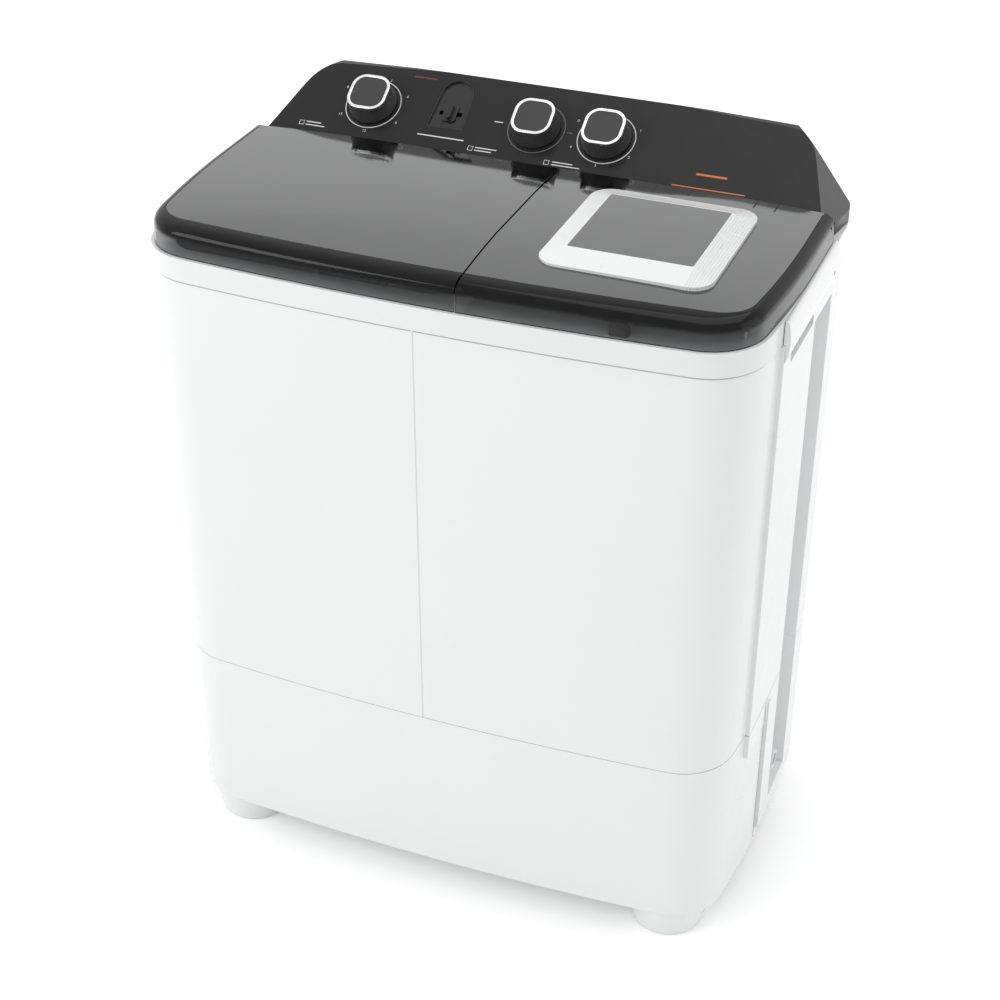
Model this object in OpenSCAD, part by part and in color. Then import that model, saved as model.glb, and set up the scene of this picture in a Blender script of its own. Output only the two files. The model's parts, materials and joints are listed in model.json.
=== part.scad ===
// Twin tub washer: wash tub on the left, spin basket on the right, two lids and a sloping console

/* [Cabinet] */
// Width across the cabinet walls
body_w = 760; // [745:1:775]
// Depth from the middle of the front to the rear wall
body_d = 445; // [437:1:455]
// How far the middle of the front bulges ahead of its corners
front_bow = 18; // [14:0.5:20]
// Radius of the front corners
corner_r = 70; // [62:1:76]
// Radius of the rear corners
rear_r = 70; // [60:1:76]
// Distance of the widest place of the sides from the front
side_mid = 241; // [225:1:255]
// Radius of the sides' bow ahead of their widest place
side_r = 1465; // [1200:5:1800]
// Wall thickness of the moulded shells
wall = 3; // [2.6:0.1:3.4]
// Height of the base section
base_h = 235; // [230:1:245]
// Height of the upper body panels
panel_h = 544; // [536:1:556]
// Place of the upright front seam, left of the middle when negative
front_seam_x = -11.5; // [-30:0.5:0]
// Width of the seams that show
seam_gap = 1; // [0.6:0.1:1.4]
// Thickness of the base floor
floor_t = 4; // [3:0.5:5]

/* [Feet] */
// Distance of the feet's middles from the cabinet's sides
foot_side = 78; // [70:1:84]
// Distance of the front feet's middles from the front
foot_front = 68; // [62:1:74]
// Distance of the rear feet's middles from the rear
foot_rear = 92; // [84:1:98]
// Height of the feet
foot_h = 46; // [40:1:50]
// Radius of a foot
foot_r = 54; // [48:1:56]

/* [Sides and hand holds] */
// Distance of the raised side strip from the front
strip_front = 115; // [110:1:122]
// Distance of the hose channel from the rear
channel_rear = 105; // [98:1:110]
// Width of the hose channel
channel_w = 80; // [70:1:84]
// Depth of the hose channel
channel_d = 20; // [16:1:22]
// Height of the hand hold pocket
pocket_h = 16; // [14:1:20]
// Depth of the hand hold pocket
pocket_d = 20; // [14:1:21]
// How far the grip trim reaches below the band
grip_low = 21; // [18:1:24]
// How far the grip trim bulges out
grip_bulge = 5; // [3:0.5:6]

/* [Top frame] */
// Height of the band under the lids
band_h = 29; // [27:0.5:33]
// How far the band stands out from the walls
overhang = 2; // [1.5:0.5:3]
// How far the top reaches behind the rear wall
rear_overhang = 8; // [6:0.5:10]
// Thickness of the deck plate
deck_t = 4; // [3:0.5:5]

/* [Lids] */
// How far the lids' sides stand in from the band
lid_in = 4; // [3:0.5:5]
// Gap between the rear edge of the lids and the console
lid_console_gap = 9.5; // [9:0.5:11]
// Distance of the hinge axis from the rear edge of the lids
hinge_in = 12; // [11:0.5:13]
// Height of a lid at its edge
lid_h = 35; // [34:0.5:37]
// How far the shoulder of a lid leans in
shoulder_in = 28; // [24:1:30]
// width of the rounded shoulder along the sides of the lids
shoulder_side = 14; // [12:1:20]
// Height of the upright part of a lid's skirt
skirt_h = 24; // [20:0.5:25]
// Rise of the lid tops to their middle
lid_crown = 7; // [4:0.5:7.5]
// Thickness of the lid top plates
top_t = 3; // [2.4:0.2:3.6]
// Width of the gap between the two lids
lid_split_gap = 2; // [1.4:0.1:2.6]
// Height of the lid hinge axis above the deck
hinge_up = 22; // [21:0.5:23]
// Radius of the hinge pins
pin_r = 2.5; // [2:0.1:3]

/* [Spin lid trim] */
// Width of the trim
trim_w = 200; // [194:1:206]
// Length of the trim from front to rear
trim_l = 217; // [208:1:220]
// Rise of the trim over the lid edge height
trim_up = 12; // [10:0.5:14]
// Radius of the trim's corners
trim_r = 26; // [20:1:32]

/* [Console] */
// Depth of the console from its front edge to its ridge at the middle
console_d = 100.8; // [99:0.2:103]
// Distance of the ridge from the rear of the top
ridge_in = 13.4; // [12:0.2:15]
// Height of the console's front edge above the deck
lip_up = 31.6; // [31:0.2:34]
// Slope of the console's face in degrees
console_slope = 32.6; // [31.6:0.1:33.6]
// How far the ridge comes forward towards its ends
ridge_bow = 8.4; // [6:0.2:10]
// Radius of the rounded upper corners
console_corner_r = 60; // [52:1:66]
// Thickness of the printed fascia
fascia_t = 2; // [1.4:0.2:2.4]

/* [Knobs] */
// Distance of the wash timer knob from the cabinet's left side
wash_knob_in = 148; // [143:1:153]
// Distance of the drain knob from the gap between the lids
drain_knob_in = 50.5; // [46:0.5:54]
// Distance of the spin timer knob from the gap between the lids
spin_knob_in = 40; // [37:0.5:46]
// Distance between the wash timer knob and the water selector
selector_pitch = 103; // [99:1:108]
// Width of a knob's rounded square top
knob_w = 51; // [46:1:54]
// Corner radius of a knob's top
knob_r = 18; // [15:1:20]
// Radius of a knob's round foot
knob_foot_r = 31; // [29:0.5:32]
// Height of a knob
knob_h = 25.5; // [23:0.5:27]
// Radius of the knob stems
stem_r = 4; // [3:0.2:4.4]
// Distance of the knobs up the slope from the console's front edge
knob_s = 55; // [52:0.5:58]
// Width of the selector's arched bezel
bezel_w = 50; // [46:1:54]
// Travel of the water selector to each side
selector_travel = 12; // [8:1:14]

/* [Wash side] */
// Gap between the cabinet's left side and the inside of the wash tub
tub_side_gap = 37; // [35:1:42]
// Gap between the cabinet's front and the inside of the wash tub
tub_front_gap = 35; // [33:1:40]
// Gap between the inside of the wash tub and the cabinet's rear
tub_rear_gap = 151; // [149:1:158]
// Gap between the insides of the wash tub and the spin well
tub_well_gap = 45; // [40:1:50]
// Ledge between the dish round the pulsator and the tub's walls
dish_ledge = 9; // [7:1:14]
// Gap between the pulsator and its dish
pulsator_gap = 4; // [3:0.5:8]
// Corner radius inside the wash tub
tub_r = 40; // [34:1:44]
// Depth of the wash tub under the deck
tub_depth = 496; // [480:1:504]
// Depth of the dish
dish_d = 20; // [16:1:24]
// Radius of the pulsator shaft
wash_shaft_r = 8; // [7:0.5:9]
// Radius of the overflow pipe
overflow_r = 23; // [21:0.5:25]
// Pitch radius of the large belt pulley
big_pulley_r = 76; // [70:1:80]
// Pitch radius of the motor pulley
small_pulley_r = 25; // [22:0.5:28]
// Radius of the wash motor
wash_motor_r = 62; // [56:1:66]
// Height of the wash motor
wash_motor_h = 110; // [104:1:114]

/* [Spin side] */
// Gap between the inside of the spin well and the cabinet's right side
well_side_gap = 36; // [33:1:40]
// How far the spin well reaches past the wash tub's depth at front and rear
well_reach = 7; // [4:1:8]
// Gap between the basket and the well
basket_side_gap = 12; // [10:0.5:15]
// How far the deck covers the well's rim
mouth_cover = 20; // [18:1:26]
// Depth of the spin well under the deck
well_depth = 496; // [486:1:500]
// Wall of the spin basket
basket_wall = 2; // [1.6:0.1:2.6]
// Gap under the basket's floor
basket_gap = 14; // [11:1:18]
// Height of the balance ring
balance_h = 38; // [32:1:42]
// Radius of the spin shaft
spin_shaft_r = 9; // [8:0.5:10]
// Radius of the brake drum
drum_r = 45; // [40:1:50]
// Radius of the spin motor
spin_motor_r = 65; // [58:1:68]
// Height of the spin motor
spin_motor_h = 125; // [118:1:130]
// Mean radius of the suspension springs
spring_r = 14; // [12:0.5:16]
// Radius of the spring wire
spring_wire_r = 2; // [1.6:0.1:2.4]
// Free height of the suspension springs
spring_h = 42; // [38:1:44]
// Number of turns in a suspension spring
spring_turns = 4; // [3:1:5]

/* [Water ways] */
// Radius of the water inlet's nipple
inlet_r = 13; // [12:0.5:13.5]
// Length of the water inlet's nipple
inlet_l = 18; // [16:1:20]
// Radius of the drain spigot
spigot_r = 14; // [12:0.5:15]
// Length of the drain spigot
spigot_l = 16; // [14:1:18]
// Height of the drain spigot above the floor
spigot_z = 101; // [96:1:106]
// Radius of the inner drain hoses
hose_r = 12; // [10:0.5:13]
// Lift of the drain plunger
plunger_lift = 14; // [10:1:16]

/* [Hidden] */
$fn = 64;

// Clearances: a small overlap for joined forms, a running fit, a free gap and a gap between bodies
lap = 0.5;
run_fit = 0.05;
free_gap = 0.4;
body_gap = 0.5;
tub_flange = 12;
trim_side = 7;
trim_back_off = 18;

// Main levels
z_base = foot_h;
z_panel = z_base + base_h;
z_band = z_panel + panel_h;
z_deck = z_band + band_h;
z_under = z_deck - deck_t;
z_floor = z_base + floor_t;
z_hinge = z_deck + hinge_up;

// Front and rear of the cabinet, set so that the whole object is centred on the origin
body_front = (overhang - body_d - rear_overhang) / 2;
body_rear = body_front + body_d;
top_rear = body_rear + rear_overhang;
half_w = body_w / 2;
top_half_w = half_w + overhang;
bow_r = (half_w * half_w + front_bow * front_bow) / (2 * front_bow);
bow_y = body_front + bow_r;
side_x = half_w - side_r;
side_y = body_front + side_mid;
bow_steps = 12;
corner_steps = 8;
side_steps = 4;
rear_steps = 6;
big = 1200;

// Places of the two tubs, worked out from the cabinet's walls
tub_x0 = tub_side_gap - half_w;
tub_y0 = body_front + tub_front_gap;
tub_y1 = body_rear - tub_rear_gap;
wash_y = (tub_y0 + tub_y1) / 2;
well_r = (tub_y1 - tub_y0) / 2 + well_reach;
spin_x = half_w - well_side_gap - well_r;
spin_y = wash_y;
tub_x1 = spin_x - well_r - tub_well_gap;
wash_x = (tub_x0 + tub_x1) / 2;
dish_r = min(tub_x1 - tub_x0, tub_y1 - tub_y0) / 2 - dish_ledge;
pulsator_r = dish_r - pulsator_gap;
basket_r = well_r - basket_side_gap;
spin_mouth_r = well_r - mouth_cover;

// Places along the sides
recess_y0 = body_front + strip_front;
recess_y1 = body_rear - channel_rear;
channel_y0 = recess_y1 - channel_w;
foot_x = half_w - foot_side;

// Places along the console and the lids
ridge_y = top_rear - ridge_in;
lip_y = ridge_y - console_d;
lid_rear_y = lip_y - lid_console_gap;
hinge_y = lid_rear_y - hinge_in;
lid_split_x = tub_x1 + tub_flange;
wash_knob_x = wash_knob_in - half_w;
selector_x = wash_knob_x + selector_pitch;
drain_knob_x = lid_split_x - drain_knob_in;
spin_knob_x = lid_split_x + spin_knob_in;
trim_x0 = spin_x - trim_w / 2 - trim_side;
trim_x1 = trim_x0 + trim_w;
trim_y0 = spin_y - trim_l / 2 + trim_back_off;
trim_y1 = trim_y0 + trim_l;

// Points on an arc
function arc(cx, cy, r, a0, a1, steps) =
    [for (i = [0:steps]) let (a = a0 + (a1 - a0) * i / steps) [cx + r * cos(a), cy + r * sin(a)]];

// Plan of the cabinet with its bowed front and sides, grown outwards, with the rear wall at rear_y;
// the front corner's middle is where it meets both bows
function plan(grow, rear_y) = let (
        hw = half_w + grow,
        rs = side_r + grow,
        rc = max(corner_r + grow, 1),
        rr = max(rear_r + grow, 1),
        front_reach = bow_r + grow - rc,
        side_reach = rs - rc,
        dy = side_y - bow_y,
        gap = norm([side_x, dy]),
        along = (front_reach * front_reach - side_reach * side_reach + gap * gap) / (2 * gap),
        off = sqrt(front_reach * front_reach - along * along),
        cx = (along * side_x - off * dy) / gap,
        cy = bow_y + (along * dy + off * side_x) / gap,
        at = atan2(cy - bow_y, cx),
        st = atan2(cy - side_y, cx - side_x),
        right = concat(
            [for (i = [1:corner_steps]) let (a = at + (st - at) * i / corner_steps) [cx + rc * cos(a),
                cy + rc * sin(a)]],
            [for (i = [1:side_steps]) let (a = st * (1 - i / side_steps)) [side_x + rs * cos(a),
                side_y + rs * sin(a)]],
            arc(hw - rr, rear_y - rr, rr, 0, 90, rear_steps)))
    concat(arc(0, bow_y, bow_r + grow, -180 - at, at, bow_steps), right, mirrored(right));

// Plan of the walls, and plan of the wider top, both moved in by inset
function body_plan(inset) = plan(-inset, body_rear - inset);
function top_plan(inset) = plan(overhang - inset, top_rear - inset);

// Rectangle with round corners
function round_rect(x0, y0, x1, y1, r, steps = 8) = concat(
    arc(x1 - r, y0 + r, r, -90, 0, steps), arc(x1 - r, y1 - r, r, 0, 90, steps),
    arc(x0 + r, y1 - r, r, 90, 180, steps), arc(x0 + r, y0 + r, r, 180, 270, steps));
function lift(points, z) = [for (p = points) [p[0], p[1], z]];

// Solid skinned through a stack of rings with equal point counts
module skin(rings) {
    n = len(rings[0]);
    m = len(rings);
    polyhedron(points = [for (r = rings) each r], faces = concat(
        [[for (i = [0:n - 1]) i]],
        [for (j = [0:m - 2]) for (i = [0:n - 1]) each skin_quad(j, j + 1, i, (i + 1) % n, n)],
        [[for (i = [n - 1:-1:0]) (m - 1) * n + i]]));
}

// Frame skinned through a closed loop of rings
module skin_loop(rings) {
    n = len(rings[0]);
    m = len(rings);
    polyhedron(points = [for (r = rings) each r],
        faces = [for (j = [0:m - 1]) for (i = [0:n - 1]) each skin_quad(j, (j + 1) % m, i, (i + 1) % n, n)]);
}
function skin_quad(j, k, i, h, n) =
    [[j * n + i, k * n + i, k * n + h], [j * n + i, k * n + h, j * n + h]];

// Tube swept along a path, with rings square to it
function unit(v) = v / norm(v);
function path_dir(path, i) = unit(path[min(i + 1, len(path) - 1)] - path[max(i - 1, 0)]);
function tube_ring(centre, dir, r, sides) = let (
        side = unit(cross(dir, abs(dir[2]) > 0.9 ? [1, 0, 0] : [0, 0, 1])),
        up = cross(side, dir))
    [for (k = [0:sides - 1]) let (a = -360 * k / sides) centre + r * (cos(a) * side + sin(a) * up)];
module tube(path, r, sides = 10) {
    skin([for (i = [0:len(path) - 1]) tube_ring(path[i], path_dir(path, i), r, sides)]);
}

// Smooth curve from a to d, leaving towards b and arriving from c
function bezier(a, b, c, d, steps) = [for (i = [0:steps]) let (t = i / steps, s = 1 - t)
    s * s * s * a + 3 * s * s * t * b + 3 * s * t * t * c + t * t * t * d];
// Hose path that leaves a along out_dir and arrives at d along in_dir, with a short straight lead at each end
function hose_path(a, out_dir, a_reach, d, in_dir, d_reach, steps) = let (lead = 8)
    concat([a], bezier(a + lead * out_dir, a + a_reach * out_dir, d - d_reach * in_dir, d - lead * in_dir,
        steps), [d]);

// Wall that follows a plan between two insets
module body_wall(outer, inner, z0, z1) {
    translate([0, 0, z0]) linear_extrude(z1 - z0) difference() {
        polygon(body_plan(outer));
        polygon(body_plan(inner));
    }
}
module top_wall(outer, inner, z0, z1) {
    translate([0, 0, z0]) linear_extrude(z1 - z0) difference() {
        polygon(top_plan(outer));
        polygon(top_plan(inner));
    }
}
module block(x0, y0, z0, x1, y1, z1) {
    translate([x0, y0, z0]) cube([x1 - x0, y1 - y0, z1 - z0]);
}

// Base section
lip_t = 2.5;
lip_up_h = 10;
lip_down_h = 14;
slot_y = channel_y0 - 66;
slot_w = 4;
slot_top = z_panel - 8;
strip_w = 12;
strip_d = 3;
strip_gap = 4;
strip_z0 = z_base + 12;
channel_z0 = z_base + 20;
vent_count = 6;
vent_w = 70;
vent_x = spin_x - 141;
vent_d = 9;
vent_pitch = 24;
vent_y0 = spin_y - 11;
cup_h = 8;
cup_wall = 2.5;
spring_arm = 92;
spring_angles = [90, 210, 330];

module base_pan() color([0.94, 0.95, 0.95]) difference() {
    union() {
        body_wall(0, wall, z_base, z_panel);
        translate([0, 0, z_base]) linear_extrude(floor_t) polygon(body_plan(lap));
        body_wall(wall - lap, wall + free_gap + lip_t, z_panel - lip_down_h, z_panel);
        body_wall(wall + free_gap, wall + free_gap + lip_t, z_panel - lap, z_panel + lip_up_h);
        block(half_w - channel_d - wall, channel_y0 - wall, z_base, half_w - lap, recess_y1 + wall, z_panel);
        side_strip();
        side_pad(channel_y0, pad_z0, z_panel - seam_gap);
        for (a = spring_angles) spring_cup(a);
    }
    // seam under the body panels
    translate([0, 0, z_panel - seam_gap]) linear_extrude(seam_gap + lap) difference() {
        polygon(body_plan(-1));
        polygon(body_plan(wall / 2));
    }
    block(half_w - channel_d, channel_y0, channel_z0, half_w + 1, recess_y1, z_panel + lip_up_h + 1);
    block(half_w - channel_d - wall - free_gap, channel_y0 - wall - free_gap, z_panel,
        half_w, recess_y1 + wall + free_gap, z_panel + lip_up_h + 1);
    block(half_w - wall - lip_t - 1, slot_y - slot_w / 2, z_base - 1, half_w + 1, slot_y + slot_w / 2,
        slot_top);
    translate([half_w - channel_d - wall - 1, (channel_y0 + recess_y1) / 2, spigot_z]) rotate([0, 90, 0])
        cylinder(r = hose_r + wall, h = wall + 2);
    block(-rear_mouth_w / 2, body_rear - wall - lip_t - 1, z_panel, rear_mouth_w / 2, body_rear,
        z_panel + lip_up_h + 1);
    for (i = [0:vent_count - 1])
        block(vent_x - vent_w / 2, vent_y0 + i * vent_pitch, z_base - 1,
            vent_x + vent_w / 2, vent_y0 + i * vent_pitch + vent_d, z_floor + 1);
    // openings behind the rear cover's louvres and cord bush
    for (x = louvre_xs) block(x - louvre_w / 2 - 4, body_rear - wall - 1, louvre_z0 - 4,
        x + louvre_w / 2 + 4, body_rear + 1, louvre_z0 + louvre_rows * louvre_pitch);
    translate([bush_x, body_rear - wall - 1, bush_z]) rotate([-90, 0, 0]) cylinder(r = bush_r, h = wall + 2);
}

// Raised strip beside the slot in the right wall
module side_strip() {
    strip_y = slot_y + slot_w / 2 + strip_gap;
    translate([half_w - lap, strip_y + strip_w / 2, 0]) rotate([90, 0, 90]) linear_extrude(strip_d + lap)
        polygon(round_rect(-strip_w / 2, strip_z0, strip_w / 2, slot_top, strip_w / 2 - 0.1, 5));
}
module spring_cup(a) {
    translate([spin_x + spring_arm * cos(a), spin_y + spring_arm * sin(a), z_floor - lap]) difference() {
        cylinder(r = spring_r + spring_wire_r + 1 + cup_wall, h = cup_h + lap);
        translate([0, 0, lap]) cylinder(r = spring_r + spring_wire_r + 1, h = cup_h + 1);
    }
}

// Upper body panels
cover_lap = 12;
rear_mouth_w = 2 * (half_w - rear_r - cover_lap) - 4;
rear_mouth_z1 = z_band - 40;
pad_z0 = z_panel - 36;
pad_t = 10;
recess_z1 = z_band - 40;
pocket_z1 = z_band - grip_low;
tongue_w = 10;
pocket_y0 = recess_y0 + 33;
pocket_y1 = channel_y0 - 10;

module body_shell() {
    difference() {
        body_wall(0, wall, z_panel, z_band);
        block(-rear_mouth_w / 2, body_rear - wall - 1, z_panel - 1, rear_mouth_w / 2, body_rear + 1,
            rear_mouth_z1);
    }
}
// Flat pad on the right side from recess_y0 to y1, which stands proud where the wall bows in
module side_pad(y1, z0, z1) translate([0, 0, z0]) linear_extrude(z1 - z0) difference() {
    translate([half_w - pad_t, recess_y0]) square([pad_t, y1 - recess_y0]);
    polygon(body_plan(wall - lap));
}
module pocket_tray() block(half_w - pocket_d - wall, pocket_y0 - wall, pocket_z1 - pocket_h - wall,
    half_w - lap, pocket_y1 + wall, pocket_z1 + wall);
module pocket_cut() block(half_w - pocket_d, pocket_y0, pocket_z1 - pocket_h, half_w + 1, pocket_y1,
    pocket_z1);
module left_body_panel() color([0.95, 0.96, 0.96]) {
    seam_edge = front_seam_x - seam_gap / 2;
    intersection() {
        difference() {
            union() {
                body_shell();
                mirror([1, 0, 0]) side_pad(recess_y1, z_panel, z_band);
                mirror([1, 0, 0]) pocket_tray();
            }
            mirror([1, 0, 0]) pocket_cut();
        }
        block(-big, -big, 0, seam_edge, big, big);
    }
    // tongue behind the seam
    intersection() {
        union() {
            intersection() {
                body_wall(wall - lap, wall + free_gap + lip_t, z_panel + 2 * lip_up_h, z_band - 2 * lip_up_h);
                block(-big, -big, 0, seam_edge, 0, big);
            }
            body_wall(wall + free_gap, wall + free_gap + lip_t, z_panel + 2 * lip_up_h,
                z_band - 2 * lip_up_h);
        }
        block(seam_edge - tongue_w, -big, 0, seam_edge + tongue_w, 0, big);
    }
}
module right_body_panel() color([0.95, 0.96, 0.96]) {
    intersection() {
        difference() {
            union() {
                body_shell();
                side_pad(channel_y0, z_panel, z_band);
                pocket_tray();
                block(half_w - channel_d - wall, channel_y0 - wall, z_panel, half_w - lap,
                    recess_y1 + wall, recess_z1 + wall);
            }
            pocket_cut();
            block(half_w - channel_d, channel_y0, z_panel - 1, half_w + 1, recess_y1, recess_z1);
        }
        block(front_seam_x + seam_gap / 2, -big, 0, big, big, big);
    }
}

// Rear cover with louvre slots
cover_t = 2.5;
louvre_rows = 9;
louvre_w = 64;
louvre_h = 5;
louvre_pitch = 14;
louvre_z0 = z_base + 60;
louvre_xs = [180 - half_w, half_w - 180];
bead_h = 3;
bush_x = 120 - half_w;
bush_z = z_base + 90;
bush_r = 9;

module rear_cover() color([0.9, 0.91, 0.91]) difference() {
    union() {
        block(-rear_mouth_w / 2 - cover_lap, body_rear, z_base + 30,
            rear_mouth_w / 2 + cover_lap, body_rear + cover_t, rear_mouth_z1 + cover_lap);
        for (s = [-1, 1]) for (z = [z_panel + 60, z_panel + 330])
            translate([s * rear_mouth_w / 4, body_rear + cover_t - lap, z]) rotate([-90, 0, 0])
                linear_extrude(bead_h + lap) polygon(round_rect(-120, -200, 120, 0, 24, 5));
    }
    for (x = louvre_xs) for (i = [0:louvre_rows - 1])
        block(x - louvre_w / 2, body_rear - 1, louvre_z0 + i * louvre_pitch,
            x + louvre_w / 2, body_rear + cover_t + 1, louvre_z0 + i * louvre_pitch + louvre_h);
    translate([bush_x, body_rear - 1, bush_z]) rotate([-90, 0, 0]) cylinder(r = bush_r, h = cover_t + 2);
}
module cord_bush() color([0.15, 0.15, 0.16]) translate([bush_x, body_rear - 3, bush_z])
    rotate([-90, 0, 0]) difference() {
    union() {
        cylinder(r = bush_r - run_fit, h = cover_t + 7);
        translate([0, 0, cover_t + 3]) cylinder(r = bush_r + 3, h = 3);
    }
    translate([0, 0, -1]) cylinder(r = 4, h = cover_t + 10);
}

// Top frame with its band, deck, tub mouths and hinge lugs
mouth_lip = 4;
wire_x = half_w - 140;
wire_y = lip_y + 43;
wire_w = 60;
ledge_h = 3;
lug_t = 6;
lug_r = 6;
ear_w = 12;
wash_ears = [52 - half_w, lid_split_x - 66];
spin_ears = [lid_split_x + 64, half_w - 52];
rod_x = half_w - 34;
rod_y = spin_y - 100;
rod_r = 2.5;

module lug_pair(x) {
    for (s = [-1, 1]) translate([x + s * (ear_w / 2 + free_gap + lug_t / 2), hinge_y, 0]) difference() {
        union() {
            translate([-lug_t / 2, 0, z_hinge]) rotate([0, 90, 0]) cylinder(r = lug_r, h = lug_t);
            block(-lug_t / 2, -lug_r, z_deck - lap, lug_t / 2, lug_r, z_hinge);
        }
        translate([-lug_t, 0, z_hinge]) rotate([0, 90, 0]) cylinder(r = pin_r + run_fit, h = 2 * lug_t);
    }
}
module top_frame() color([0.97, 0.97, 0.97]) {
    difference() {
        union() {
            top_wall(0, wall, z_band, z_deck);
            translate([0, 0, z_under]) linear_extrude(deck_t) polygon(top_plan(lap));
            translate([0, 0, z_band]) linear_extrude(ledge_h) difference() {
                polygon(top_plan(lap));
                polygon(body_plan(wall + free_gap + lip_t));
            }
            body_wall(wall + free_gap, wall + free_gap + lip_t, z_band - lip_up_h, z_band + lap);
        }
        translate([0, 0, z_under - 1]) linear_extrude(deck_t + 2)
            polygon(round_rect(tub_x0 + mouth_lip, tub_y0 + mouth_lip, tub_x1 - mouth_lip, tub_y1 - mouth_lip,
                tub_r - mouth_lip));
        translate([spin_x, spin_y, z_under - 1]) cylinder(r = spin_mouth_r, h = deck_t + 2);
        translate([rod_x, rod_y, z_under - 1]) cylinder(r = rod_r + free_gap, h = deck_t + 2);
        for (s = [-1, 1]) grip_notch(s);
        // the locating lip stays clear of the rear opening and of the hand hold trays
        block(-rear_mouth_w / 2 - cover_lap, body_rear - wall - lip_t - 1, z_band - lip_up_h - 1,
            rear_mouth_w / 2 + cover_lap, body_rear - wall, z_band);
        block(wire_x, wire_y, z_under - 1, wire_x + wire_w, wire_y + wire_w / 2, z_deck + 1);
    }
    for (x = concat(wash_ears, spin_ears)) lug_pair(x);
}
module grip_notch(side) {
    x0 = half_w - wall;
    mirror([side < 0 ? 1 : 0, 0, 0]) block(x0, recess_y0, z_band - 1, top_half_w + 1, recess_y1, z_deck + 1);
}

// Grip trim: a rounded nose along each side under the lids
grip_z0 = pocket_z1;
grip_z1 = z_deck - free_gap;
grip_back = half_w - wall + free_gap;
module side_grips() color([0.98, 0.98, 0.98]) for (s = [0, 1]) mirror([s, 0, 0])
    translate([0, recess_y1 - free_gap, 0]) rotate([90, 0, 0])
        linear_extrude(recess_y1 - recess_y0 - 2 * free_gap)
        polygon(concat(
            [for (a = [-90:15:90]) [half_w + grip_bulge * cos(a),
                (grip_z0 + grip_z1) / 2 + (grip_z1 - grip_z0) / 2 * sin(a)]],
            [[grip_back, grip_z1], [grip_back, z_band + free_gap], [half_w, z_band + free_gap]]));

// Feet
module foot(x, y) {
    translate([x, y, 0]) rotate_extrude() polygon(concat(
        [[0, 0]],
        arc(foot_r - 12, 6, 6, -90, 0, 4),
        [[foot_r, z_base - 8], [foot_r, z_base], [0, z_base]]));
}
module front_feet() color([0.93, 0.94, 0.94]) for (s = [-1, 1]) foot(s * foot_x, body_front + foot_front);
module rear_feet() color([0.93, 0.94, 0.94]) for (s = [-1, 1]) foot(s * foot_x, body_rear - foot_rear);

// Lids: one swept frame and one crowned plate, each split into a wash and a spin half
ledge_in = shoulder_in + 14;
plate_steps = [1, 0.85, 0.7, 0.5, 0.3];
filler_edge = 0.97;
seat_gap = 0.1;
shoulder_steps = 5;
frame_t = 2.5;
bar_w = 12;
hinge_swing = hinge_up - body_gap;
rim_in = frame_t + 2;
crown_y = (body_front + lid_rear_y) / 2;

function shoulder(t, a) = [shoulder_in - (shoulder_in - 2 - t) * cos(a),
    skirt_h + (lid_h - skirt_h - t) * sin(a)];
// Inset at the sides for an inset at the front: the shoulder is narrower there, the ledge as far in
function side_inset(inset) = inset <= rim_in ? inset
    : inset <= shoulder_in ? rim_in + (inset - rim_in) * (shoulder_side - rim_in) / (shoulder_in - rim_in)
    : shoulder_side + (inset - shoulder_in) * (ledge_in - shoulder_side) / (ledge_in - shoulder_in);
function lid_plan(inset) = let (
        lid_half_w = half_w + overhang - lid_in,
        stretch = (lid_half_w - side_inset(inset)) / (lid_half_w - inset))
    [for (p = top_plan(lid_in + inset)) [p[0] * stretch, p[1]]];
function frame_profile() = concat(
    [[0, body_gap]],
    [for (i = [0:shoulder_steps]) shoulder(0, 90 * i / shoulder_steps)],
    [[shoulder_in, lid_h - top_t - seat_gap], [ledge_in, lid_h - top_t - seat_gap]],
    [[ledge_in, lid_h - top_t - frame_t]],
    [for (i = [shoulder_steps:-1:0]) shoulder(top_t + frame_t, 90 * i / shoulder_steps)],
    [[frame_t, body_gap]]);
// Ring of the crowned top: the plate's outline drawn in to a share of its size, sunk below the surface
function crown_ring(share, sunk) = [for (p = lid_plan(shoulder_in + free_gap))
    [p[0] * share, crown_y + (p[1] - crown_y) * share,
        z_deck + lid_h - sunk + lid_crown * (1 - share * share)]];

module lid_frame() skin_loop([for (p = frame_profile()) lift(lid_plan(p[0]), z_deck + p[1])]);
module lid_plate() skin(concat(
    [for (i = [len(plate_steps) - 1:-1:0]) crown_ring(plate_steps[i], top_t)],
    [for (share = plate_steps) crown_ring(share, 0)]));
module lid_filler() skin(concat(
    [crown_ring(filler_edge, top_t + 8)],
    [for (share = concat([filler_edge], [for (i = [1:4]) plate_steps[i]])) crown_ring(share, top_t + 0.2)]));
module lid_half(x0, x1) block(x0, -big, z_deck, x1, lid_rear_y, z_deck + 200);

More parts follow.
